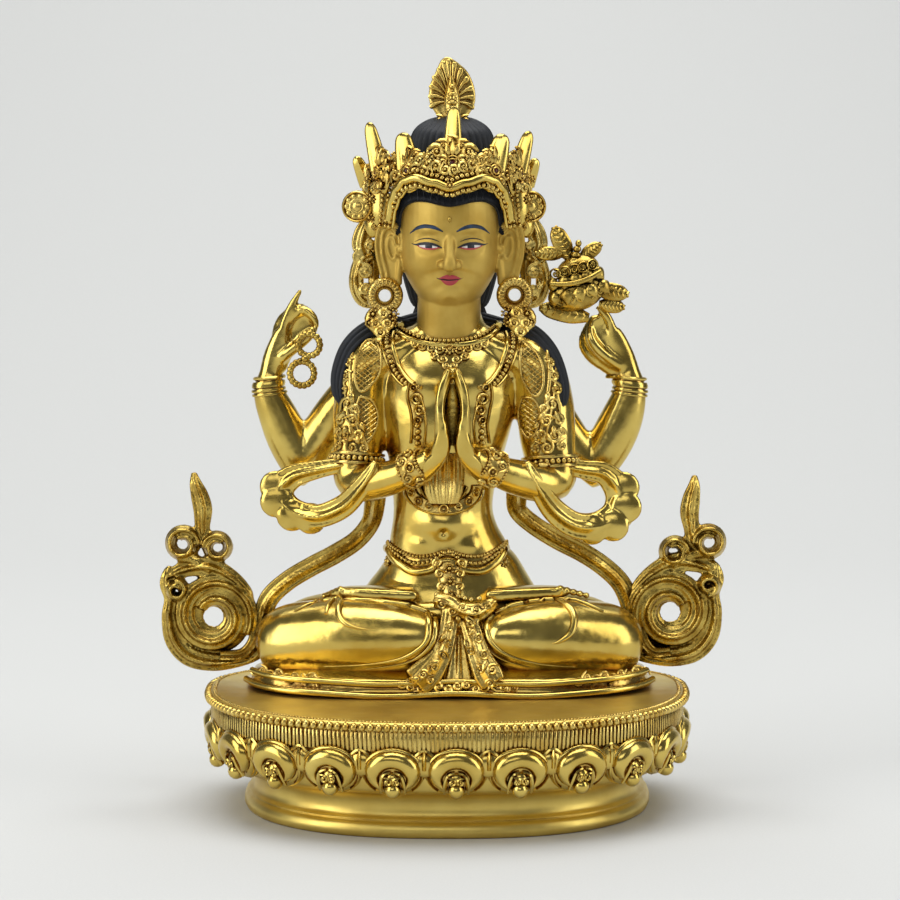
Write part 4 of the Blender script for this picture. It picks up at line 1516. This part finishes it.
def crownLeaf(wide, tall):
    # a flame-shaped plate full of scrolls round a set stone, in XY
    ring = []
    for k in range(9):
        degrees = -24 + 228 * k / 8
        angle = radians(degrees)
        size = wide * (0.27 if k % 2 else 0.32)
        spot = (wide * 0.78 * cos(angle), tall * 0.70 * sin(angle) - 0.2)
        ring += moved(swirl(size, 1.25, size * 0.34, degrees, 1 if angle < pi / 2 else -1, tail=size * 0.7,
            sides=5), slide(*spot, 0.2))
    for hand in (-1, 1):
        ring += moved(swirl(wide * 0.29, 1.3, wide * 0.09, 90, hand, tail=wide * 0.25, sides=5),
                      slide(hand * wide * 0.36, -tall * 0.12, 0.7))
        ring += moved(swirl(wide * 0.25, 1.25, wide * 0.085, 270, -hand, tail=wide * 0.2, sides=5),
                      slide(hand * wide * 0.38, -tall * 0.62, 0.6))
        ring += moved([leaf(tall * 0.55, wide * 0.16, 0.8, bend=hand * wide * 0.2)],
                      slide(hand * wide * 0.14, tall * 0.2, 0.5))
    ring += moved([leaf(tall * 0.75, wide * 0.15, 0.9)], slide(0, tall * 0.18, 0.6))
    ring += moved([hoop(wide * 0.17, 0.36, 0.7, rounds=16), hoop(wide * 0.17 + 0.85, 0.3, 0.5, rounds=16)],
                  slide(0, -tall * 0.12, 1))
    return ring + moved(rosette(wide * 0.18, 7), slide(0, -tall * 0.62, 0.9))


def buildCrown():
    gold, ornate, gems = [], [], []
    gold.append(crownLoft(crownRim, 0, 1.3, 1.2, 0.9))  # the smooth waved rim
    gold.append(crownLoft(crownRim, -1.9, 1.2, 0.5, -0.2, outline=box2))
    gold.append(crownLoft(crownTop, 2.4, 3.4, 0.8, -1.1, last=180, count=140, outline=box2))
    ornate.append(crownBeads(crownRim, -2.1, 0.8, 0.6))
    ornate.append(crownBeads(crownTop, 2.2, 0.75, 0.5, 88))
    ornate.append(crownBeads(crownTop, 3.9, 0.6, 0.2, 88))
    ornate.append(crownBeads(crownTop, -0.6, 0.55, 0, 180))
    leaves = [
        (0, (1.6, -16, 155.4), 7, 7, (2, -12.6, 171.2), 2.3),
        (-38, (-11.2, -13.2, 153.2), 5.8, 6.6, (-13, -11, 163.6), 2.9),
        (40, (13.6, -13.2, 153.2), 5.8, 6.6, (16.4, -11, 163.2), 2.9),
        (-76, (-19.8, -5.8, 153), 5.8, 7.4, (-23, -3, 167), 2.2),
        (78, (20.8, -5.8, 152.6), 5.8, 7.4, (24.2, -3, 164.4), 2.2),
        (-104, (-23.4, 0.2, 148.8), 4.8, 6.6, (-27, 0.8, 157.2), 2),
        (104, (23.4, 0.2, 148.8), 4.8, 6.6, (26.4, 0.8, 156.6), 2),
    ]
    for degrees, spot, wide, tall, tip, thick in leaves:
        place = standing(*spot, lean=-4, yaw=degrees * 0.8)
        gold += moved([ball((0, -0.8, -1.2), (wide * 0.92, tall * 0.96, 1.5), sides=20)], place)
        ornate += moved(crownLeaf(wide, tall), place)
        gems += moved([ball((0, -tall * 0.12, 0.8), (wide * 0.16, wide * 0.16, 0.7))], place)
        gold.append(spike(Vector(spot) + Vector((0, 1.6, 0)), tip, thick, thick * 0.8))
    for degrees in range(-84, 85, crownForm["scrollGap"]):  # small scrolls filling the foot of the crown
        spot, facing = crownSpot(degrees, crownTop(degrees) + 5, 0.3)
        ornate += moved(swirl(1.6, 1.25, 0.5, dice.uniform(0, 360), dice.choice((-1, 1)), tail=1.4, sides=5),
            laid(spot, facing))
    for degrees in (-60, -20, 20, 60):
        spot, facing = crownSpot(degrees, crownTop(degrees) + 7, 0.2)
        ornate += moved(rosette(1.9, 8), laid(spot, facing))
    ornate += moved(rosette(1.3, 6), laid(*crownSpot(0, 148, 2)))
    for x in (-26.4, 24.6):
        side = 1 if x > 0 else -1
        place = standing(x, -3.4, 142.3, yaw=side * 12)
        gold += moved([ball((0, 0, -0.4), (4.8, 4.8, 1), sides=24)], place)
        ornate += moved([hoop(4.3, 0.4, 0.7, rounds=28)], place @ slide(0, 0, 0.3))
        ornate += moved(rosette(3.9, 10), place @ slide(0, 0, 0.4))
        # the side plates between the crown, the rosette and the ear, with their jewelled strips
        gold += moved([ball((0, 0, 0), (3.6, 7.4, 1.6), sides=20)], standing(midline + side * 20.8, -4.6, 143.6,
            yaw=side * 30))
        gold += moved([ball((0, 0, 0), (3, 4.6, 1.4), sides=16)], standing(midline + side * 22.6, -2.4, 137.6,
            yaw=side * 30))
        for k in range(9):
            for a, radius in ((17.6, 0.72), (19.3, 0.72)):
                ornate += moved([ball((0, 0, 0), (radius, radius, radius), sides=8)],
                                standing(midline + side * (a + 0.16 * k), -7.2 + 0.16 * k, 148.6 - k * 1.5))
        for k, (a, z, size) in enumerate(((22, 147.6, 1.6), (23.2, 144.4, 1.5), (21.6, 141.6, 1.6),
                (23.6, 139, 1.5), (21.8, 136.4, 1.5), (24.2, 150.4, 1.4))):
            template = rosette(size, 7) if k % 2 else swirl(size, 1.3, 0.5, 90 * k, side, tail=1.2)
            ornate += moved(template, standing(midline + side * a, -6 + 0.5 * k, z, yaw=side * 30))
    addPiece("crownRim", gold, bright)
    addPiece("crownScrolls", ornate, relief)
    addPiece("crownGems", gems, garnet)


print("stage: crown")
buildCrown()


def buildRibbons():
    # the crown's ribbon ends behind each ear: a leaf, then a ridged band with curls
    shapes = []
    for side in (-1, 1):
        def line(rows):
            return [(midline + side * a, y, z, w, d) for a, y, z, w, d in rows]
        shapes.append(loft(line([(24.2, 1.6, 138.5, 1.8, 1.4), (25.6, 1.4, 134.6, 2.8, 1.5),
            (26.4, 1.6, 130.6, 2.7, 1.5), (25, 2, 127.2, 1.6, 1.2)]), sides=24, outline=ridged(2, 0.4)))
        shapes.append(loft(line([(23, 2, 128.4, 1.8, 1.3), (26.2, 1.6, 126.4, 2.2, 1.5),
            (27.6, 1.8, 122.4, 2.3, 1.5), (27.6, 2, 118.4, 2.3, 1.5), (25.8, 2, 114.8, 2.2, 1.4),
            (22.4, 2, 113.6, 1.6, 1.2)]), sides=28, outline=ridged(3, 0.4)))
        shapes.append(loft(line([(22.4, 3, 132, 1.6, 1.2), (22.6, 3, 124, 1.8, 1.2), (22.6, 3, 117, 1.6, 1.2)]),
            sides=16, outline=ridged(2, 0.3)))
        for a, z, size, spin, hand in ((25, 123.2, 2.4, 90, side), (24.8, 117.8, 2.1, 0, -side),
                (26.8, 127.8, 1.9, 200, side), (23.4, 131, 1.5, 60, -side)):
            shapes += moved(swirl(size, 1.4, size * 0.27, spin, hand, tail=size),
                standing(midline + side * a, 0.4, z))
    addPiece("crownRibbons", fused(shapes, crownForm["ribbonGrain"], 1), relief)


buildRibbons()


def buildFinial():
    # a leaf-shaped plate with rays out to its scalloped edge, and a small bud standing before it
    shapes = [loft([(1.6, 2, 164.5, 3.2, 3), (1.6, 2, 167, 3.8, 2.4), (1.6, 2, 169.4, 4.8, 1.6),
        (1.6, 2, 172.6, 6.6, 1.2), (1.4, 2, 176.4, 6.8, 1.1), (1, 2, 180.2, 5.7, 1), (0.3, 2, 183.2, 3.7, 0.9),
        (-0.4, 2, 185.6, 1.6, 0.7), (-0.6, 2, 186.2, 0.5, 0.4)], sides=32, steps=5)]
    edge = [(-4.6, 170.6), (-5.2, 173.4), (-5.2, 176.4), (-4.6, 179.4), (-3.4, 182), (-1.8, 184.2), (-0.5, 185.6),
        (1.2, 185.4), (3.2, 184), (5.2, 181.6), (6.8, 178.8), (7.8, 175.8), (8, 173), (7.6, 170.4)]
    for x, z in smoothPath(edge, 2)[1::2]:
        root, end = Vector((1.4, 0.6, 173.6)), Vector((x, 0.9, z))
        root = root.lerp(end, 0.22)
        middle = root.lerp(end, 0.55) + Vector((0, 0, 0.35))
        end = root.lerp(end, 0.9)
        shapes.append(loft([(*root, 0.35, 0.5), (*middle, 0.62, 0.7), (*end, 0.92, 0.6),
            (*(end + (end - root).normalized() * 0.8), 0.5, 0.3)], sides=10, steps=3))
    shapes.append(loft([(1.5, -0.2, 170, 2.2, 1.4), (1.5, -0.4, 173.4, 2.3, 1.4), (1.4, -0.4, 177, 1.7, 1.2),
        (1.3, 0, 180.6, 0.5, 0.6)], sides=16, outline=roof))
    for z, w in ((170.6, 1.9), (172.8, 1.7), (175.2, 1.4), (177.4, 1)):
        shapes.append(ball((1.5, -1.3, z), (w, 1.1, 0.9)))
    for hand in (-1, 1):
        shapes += moved(swirl(1.7, 1.3, 0.6, 90, hand, tail=1.2), standing(1.6 + hand * 3.6, 0.2, 167.4))
        shapes += moved(swirl(0.8, 1.1, 0.3, 90, hand), standing(1.5 + hand * 1.1, -1.8, 174.2))
        shapes.append(ball((1.6 + hand * 2.8, 0, 165), (1.5, 1.5, 1.3), sides=10))
    addPiece("finial", shapes, relief)


buildFinial()


earring = {"reach": 3.7, "hole": 2.2, "beads": 22}


def buildEarrings():
    shapes = []
    for x, z, low in ((-18.3, 116.2, -19.6), (19.9, 116.4, 21.6)):
        y = -5.8
        place = standing(x, y, z)
        shapes += moved([hoop(earring["reach"], 1.7, 1.5, sides=12, rounds=36),
            hoop(earring["hole"], 0.45, 2, rounds=24)], place)
        for k in range(earring["beads"]):
            angle = 2 * pi * k / earring["beads"]
            shapes += moved([ball((4, 0, 0.7), (1.35, 0.5, 1.25), sides=8)], place @ Matrix.Rotation(angle, 4, "Z"))
        shapes.append(loft([(x, y, z - 4.2, 3.6, 1.6), (low, y - 0.4, z - 7.6, 4.9, 1.8),
            (low, y - 0.8, z - 10.4, 2.8, 1.4), (low, y - 0.8, z - 12.2, 0.8, 0.6)], sides=18))
        for a, b, size in ((-3.1, -5.4, 1.6), (0, -5.3, 1.7), (3.1, -5.4, 1.6), (-3.5, -8, 1.4), (3.5, -8, 1.4),
                (-1.6, -8.2, 1.7), (1.9, -8.2, 1.7), (0.1, -10.8, 2)):
            template = rosette(size, 7, 0.8) if b > -8.1 and a else swirl(size, 1.4, 0.55, 0, 1 if a < 1 else -1)
            shapes += moved(template, standing(mix(x, low, min(1, -(b + 4) / 5)) + a, y - 1.9, z + b))
    addPiece("earrings", shapes, relief)


print("stage: earrings")
buildEarrings()


# Scarves, scrolls and what the hands hold

scarf = {"grain": 0.44, "loopFold": 0.45, "fallFold": 0.4, "scrollFold": 0.42}


def buildScarves():
    loops = [loft([(-30, -8, 66.5, 2.2, 1.4), (-39, -6, 64.6, 2.8, 1.6), (-46, -4, 62.4, 3.7, 1.7),
        (-50.2, -3, 57.6, 4.5, 1.8), (-46.4, -4.5, 52.6, 4.1, 1.8), (-38.5, -7, 51, 3.6, 1.8),
        (-31, -9.5, 54, 3.5, 1.8), (-25.8, -13.4, 59.4, 3, 1.6), (-22.6, -15.4, 64, 2.3, 1.3),
        (-20.6, -15.6, 68, 1.2, 0.9)], sides=32, steps=8, outline=ridged(2, scarf["loopFold"])),
        loft([(32, -8, 66.5, 2.2, 1.4), (40, -6, 64.8, 2.8, 1.6), (47, -4, 63.2, 3.6, 1.7),
        (51.4, -3, 57.4, 4.6, 1.8), (50.8, -3.4, 51.4, 5, 1.8), (45, -5, 48, 4.4, 1.8), (38, -7.5, 48.4, 4, 1.8),
        (32, -9.5, 52.6, 3.7, 1.8), (27.4, -13.4, 59, 3, 1.6), (24.6, -15.4, 64, 2.3, 1.3),
        (23, -15.6, 68, 1.2, 0.9)], sides=32, steps=8, outline=ridged(2, scarf["loopFold"]))]
    for side, spots in ((-1, ((-52.6, 60.6), (-52.4, 54.8), (-46, 49.4), (-38.6, 48.4))),
            (1, ((54.6, 60.2), (55.4, 52.6), (50.4, 45.4), (42, 44.2)))):
        for k, (x, z) in enumerate(spots):  # the lobes of the cloth's outer edge
            loops.append(ball((mix(x, side * 46, 0.24), -3.6 - 0.8 * k, mix(z, 56, 0.24)), (4.8, 1.6, 4.8),
                sides=20))
    addPiece("elbowLoops", fused(loops, scarf["grain"], 2), bright)
    falls = [loft([(-20.4, -8, 62, 2.6, 2), (-21.4, -4, 55, 3.1, 2), (-22.8, 1, 48.5, 2.9, 1.6),
        (-27, 2, 43, 2.9, 1.5), (-33.5, 3, 38.6, 3, 1.5), (-41, 3.4, 34.6, 3, 1.5), (-48, 3.6, 30.3, 3, 1.5),
        (-53.4, 3.4, 25.2, 3, 1.5), (-55.8, 2.6, 18.6, 2.9, 1.6), (-57.4, 2, 11.5, 2.9, 1.8),
        (-61.5, 2, 7.6, 2.6, 1.8), (-68, 2.3, 7, 2.5, 1.6)], sides=28, steps=8,
        outline=ridged(2, scarf["fallFold"])), loft([(20.4, -8, 63, 2.6, 2), (20.6, -4, 57, 3.1, 2),
        (21.2, 0, 52, 2.9, 1.6), (25.8, 1, 47.6, 2.9, 1.5), (33.1, 3, 42.9, 3, 1.5), (40.6, 3.4, 39, 3, 1.5),
        (46.8, 3.6, 34.9, 3, 1.5), (51.8, 3.6, 30.2, 3, 1.5), (54.5, 3.2, 25, 3, 1.5), (56.4, 2.6, 18, 2.9, 1.6),
        (58.4, 2, 11.5, 2.9, 1.8), (62, 2, 8.2, 2.6, 1.8), (67, 2.3, 8.2, 2.5, 1.6)], sides=28, steps=8,
        outline=ridged(2, scarf["fallFold"]))]
    addPiece("scarfFalls", falls, aged)


print("stage: scarves")
buildScarves()


def wound(reach, turns, start, hand, wide, deep, ridges, taper=0.35):
    # a ridged ribbon wound into a scroll, in XY
    count = int(abs(turns) * 26)
    rows = []
    for i in range(count + 1):
        share = i / count
        angle = radians(start) + hand * turns * 2 * pi * share
        radius = mix(reach[0], reach[1], share)
        swell = taper + (1 - taper) * sin(pi * (0.14 + 0.72 * share))
        rows.append((radius * cos(angle), radius * sin(angle), 0.5 * sin(pi * share), wide * swell,
            deep * (0.6 + 0.4 * swell)))
    return loft(rows, facing=out, sides=28, steps=1, outline=ridged(ridges, scarf["scrollFold"]))


def flameScroll(side, middle, outerCurl, innerCurl, stem, tip):
    # places are measured from the big scroll's eye, x away from the figure
    def at(x, y, deep=2.6):
        return standing(middle[0] + side * x, deep, middle[1] + y)
    hand = -side
    begin = 180 if side > 0 else 0

    def ribbon(rows, ridges=2, depth=0.5):
        path = [(side * x, y, 0, wide, thick) for x, y, wide, thick in rows]
        return moved([loft(path, facing=out, sides=24, steps=6, outline=ridged(ridges, depth))],
            standing(middle[0], 2.6, middle[1]))

    def rope(reach, turns, start, way, wide, place):
        return moved([wound(reach, turns, start, way, wide, 2.2, 1, 0.8)], place)

    shapes = moved([hoop(7.2, 4.4, 0.9, sides=16, rounds=48)], at(0.6, -1, 3))
    shapes += moved([wound((11.6, 4.6), 1.5, begin - 30 * hand, hand, 2.7, 2.3, 2, 0.55)], at(0.4, -0.6))
    # the outer ribbon: from the floor of the scroll round its far side, up into the neck
    shapes += ribbon([(-14.4, -11.4, 0.5, 0.6), (-12.4, -12.8, 1.4, 1.4), (-6.4, -14.2, 2.2, 1.8),
        (1, -14.8, 2.7, 2), (8, -13, 3, 2), (12.4, -8, 2.9, 2), (13.9, -1, 2.3, 1.9), (13.4, 4.4, 2, 1.7),
        (14.6, 9, 2.1, 1.7), (14.2, 12.6, 1.4, 1.3), (13.4, 14.4, 0.5, 0.6)])
    shapes += rope((3, 1.1), 1.15, begin + 90, -hand, 1.5, at(11.6, 7.4, 1.6))
    # the neck, from the top of the scroll across to the two curls
    shapes += ribbon([(-11.2, 3.4, 0.5, 0.6), (-9.6, 6.6, 1.6, 1.5), (-5, 11, 2.3, 1.8), (1.6, 14.2, 2.9, 2),
        (8.6, 13.6, 2.6, 1.8), (13.6, 11.4, 1.8, 1.5)])
    shapes += ribbon([(1.4, 13, 1.8, 1.5), (6.6, 16.2, 2.2, 1.7), (11.2, 16.6, 1.8, 1.5)], 1, 0.3)
    for place, size, turn in ((outerCurl, 1.15, 0), (innerCurl, 1, 180)):
        shapes += moved([hoop(3.1 * size, 1.7 * size, 0.8, sides=12, rounds=30)], at(*place, 3))
        shapes += rope((4.2 * size, 1.9 * size), 1.35, begin + turn, hand if turn == 0 else -hand, 1.3 * size,
            at(*place))
    shapes += moved([ball((0, 0, 0), (2.6, 2.6, 1.3))], at((outerCurl[0] + innerCurl[0]) / 2,
        (outerCurl[1] + innerCurl[1]) / 2 + 2))
    root, end = Vector(stem) - Vector((0, 3)), Vector(tip)
    bends = [root.lerp(end, s) for s in (0, 0.16, 0.4, 0.62, 0.82, 1)]
    swing = (0, -0.3, -1, -0.6, 0.1, 0.2)
    shapes += ribbon([(b.x + s, b.y, w, d) for b, s, (w, d) in zip(bends, swing,
        ((2.2, 1.5), (2.4, 1.5), (2.9, 1.6), (2.7, 1.5), (1.9, 1.3), (0.8, 0.8)))], 2, 0.45)
    return shapes


print("stage: scrolls")
addPiece("scarfScrolls", fused(
    flameScroll(-1, (-69.7, 20.6), (9.6, 21.2), (-0.8, 20.2), (3.6, 27), (5.9, 42.6))
    + flameScroll(1, (66.5, 22), (12, 20.2), (1.6, 17.4), (7, 24.5), (7.4, 40.4)), scarf["grain"], 1), aged)


rosary = {"loops": ((-41.1, 101.4, 3.25), (-43.2, 92.9, 3.6)), "pitch": 1.25, "bead": (1.1, 1.0, 1.1)}


def buildRosary():
    shapes = []
    for x, z, reach in rosary["loops"]:
        count = int(2 * pi * reach / rosary["pitch"])
        for k in range(count):
            angle = 2 * pi * k / count
            shapes.append(ball((x + reach * cos(angle), 1.2, z + reach * sin(angle)), rosary["bead"], sides=10))
        shapes += moved([hoop(reach, 0.7, 0.6, rounds=28)], standing(x, 1.2, z))
    shapes.append(ball((-42.2, 1, 97.3), (1.4, 1.2, 1.2), sides=10))
    shapes.append(ball((-40.2, 1.6, 105.2), (1.2, 1.2, 1.6), sides=10))
    addPiece("rosaryBeads", shapes, aged, "rosary")


def feather(root, tip, wide):
    # a leaf with a midrib and combed veins
    root, tip = Vector(root), Vector(tip)
    along = (tip - root).normalized()
    side = along.cross(front).normalized()
    shapes = [loft([(*root, wide * 0.5, 0.9), (*root.lerp(tip, 0.35), wide * 1.05, 0.9),
        (*root.lerp(tip, 0.75), wide * 0.95, 0.8), (*root.lerp(tip, 0.93), wide * 0.55, 0.7),
        (*tip, wide * 0.15, 0.4)], sides=16, outline=roof)]
    for k in range(7):
        share = (k + 0.6) / 7
        middle = root.lerp(tip, share) + front * 0.7
        reach = wide * sin(pi * mix(0.2, 0.86, share)) * 0.62
        for hand in (-1, 1):
            end = middle + side * hand * reach + along * reach * 0.6 - front * 0.35
            shapes.append(loft([(*middle, 0.3, 0.4), (*middle.lerp(end, 0.6), 0.42, 0.45), (*end, 0.34, 0.3)],
                sides=6, steps=2))
    return shapes


def buildBlossom():
    shapes = [ball((38.4, -1, 117), (8.8, 4.4, 5.6), (0, -18, 0), sides=20),
        ball((38.6, -1, 123.6), (6.6, 3.8, 4.4), (0, -18, 0), sides=20)]
    tilt = turned(-14, "Y")

    def upon(x, y, z, spin=0, yaw=0):
        return slide(38.4, -1, 119.6) @ tilt @ standing(x, y, z, spin=spin, yaw=yaw)
    for k in range(5):
        a = mix(-1, 1, k / 4)
        shapes += moved([leaf(4.6, 1.9, 0.9)], upon(a * 6.4, -4.4 + 1.6 * a * a, 3.4, spin=180 + a * 20,
            yaw=a * 30))
        shapes += moved([hoop(1.75, 0.34, 0.6, stretch=0.85)] + swirl(1.1, 1.3, 0.3, 90, 1 if k % 2 else -1),
                        upon(a * 5.6, -4.8 + 1.4 * a * a, 4.4, yaw=a * 30))
        shapes += moved([leaf(4.4, 2, 0.9)], upon(a * 7, -4.8 + 1.8 * a * a, -1, spin=180 + a * 24, yaw=a * 30))
        shapes += moved(swirl(1.5, 1.3, 0.5, 270, 1 if k % 2 else -1), upon(a * 5.8, -5 + 1.6 * a * a, -3.6,
            yaw=a * 30))
    shapes += moved([loft([(-7.6, 0.9, 0, 0.7, 0.6), (-3.6, -0.2, 0.9, 0.8, 0.7), (0, -0.5, 1.2, 0.8, 0.7),
        (3.6, -0.2, 0.9, 0.8, 0.7), (7.6, 0.9, 0, 0.7, 0.6)], facing=out, sides=8)], upon(0, -4.2, 1))
    for k in range(4):
        shapes.append(ball((37.6 + 0.4 * k, -2.4, 126.4 + 1.7 * k), (1.9 - 0.3 * k, 1.4, 1.1), sides=10))
    for root, tip, wide in (
        ((36.2, -1, 127), (31.6, -1, 136.4), 2.6), ((39.5, -1, 127), (45.6, -1, 131.4), 2),
        ((34.8, -1, 128.6), (26, -1, 128.4), 2), ((44, -1, 118), (53.8, -1, 116.4), 2.5),
        ((42, -1.5, 109.5), (27.2, -1.5, 112.6), 2.7), ((45, -0.6, 113.6), (52.6, -0.6, 112.6), 2.1),
    ):
        shapes += feather(root, tip, wide)
    addPiece("lotusFlower", shapes, aged, "lotus_blossom")


buildRosary()
buildBlossom()


# Stage, light and camera

studio = {
    "floor": "cccdcb", "fibre": "c8c9c7", "camera": (0.00087, -0.743, 0.164), "tilt": 85.43, "lens": 100.0,
    "sweepFrom": 0.55, "sweepRadius": 1.5, "world": 0.12,
    # soft boxes: place, what it looks at, size, power
    "boxLeft": ((-1.15, -0.65, 0.55), (0, 0, 0.1), (0.8, 1.2), 9.5),
    "boxRight": ((1.2, -0.45, 0.5), (0, 0, 0.1), (0.6, 1.2), 5.5),
    "boxTop": ((0.0, 0.05, 1.7), (0, 0, 0.1), (1.7, 1.5), 30.5),
    "boxFront": ((-0.25, -1.6, 0.8), (0, 0, 0.1), (1.3, 0.45), 3.0),
    "boxBack": ((0.0, 1.0, 1.7), (0, 2.0, 0.4), (2.4, 0.5), 12.6),
}


def buildStage():
    # a paper sweep: flat under the statue, curving up behind it
    reach, start = studio["sweepRadius"], studio["sweepFrom"]
    line = [(-2.4, 0), (start, 0)]
    line += [(start + reach * sin(radians(k * 3)), reach * (1 - cos(radians(k * 3)))) for k in range(1, 31)]
    line.append((start + reach, reach + 1))
    sweep = bmesh.new()
    last = sweep.verts.new((-3, *line[0]))
    for y, z in line[1:]:
        point = sweep.verts.new((-3, y, z))
        sweep.edges.new((last, point))
        last = point
    made = bmesh.ops.extrude_edge_only(sweep, edges=sweep.edges[:])
    bmesh.ops.translate(sweep, vec=(6, 0, 0), verts=pointsOf(made))
    bmesh.ops.recalc_face_normals(sweep, faces=sweep.faces)
    mesh = bpy.data.meshes.new("backdrop")
    sweep.to_mesh(mesh)
    sweep.free()
    mesh.shade_smooth()
    material, tree, shader, coords = newMaterial("paper_backdrop")
    setInputs(tree, shader, {"Base Color": mottled(tree, coords, 0.6, studio["floor"], studio["fibre"], 3.0),
                             "Roughness": 0.8})
    mesh.materials.append(material)
    newObject("backdrop", mesh)


def softBox(name, place, toward, size, power):
    data = bpy.data.lights.new(name, "AREA")
    data.shape = "RECTANGLE"
    data.size, data.size_y = size
    data.energy = power
    obj = newObject(name, data)
    obj.location = place
    obj.rotation_euler = (Vector(toward) - Vector(place)).to_track_quat("-Z", "Y").to_euler()


def buildLight():
    world = bpy.data.worlds.new("studio")
    world.use_nodes = True
    setInputs(world.node_tree, world.node_tree.nodes["Background"],
              {"Color": (0.96, 0.97, 1.0, 1), "Strength": studio["world"]})
    bpy.context.scene.world = world
    for name in ("boxLeft", "boxRight", "boxTop", "boxFront", "boxBack"):
        softBox(name, *studio[name])


def buildCamera():
    data = bpy.data.cameras.new("camera")
    data.lens = studio["lens"]
    data.sensor_width = 36.0
    obj = newObject("camera", data)
    obj.location = studio["camera"]
    obj.rotation_euler = (radians(studio["tilt"]), 0, 0)
    bpy.context.scene.camera = obj


print("stage: studio")
buildStage()
buildLight()
buildCamera()
bpy.context.scene.view_settings.view_transform = "Standard"
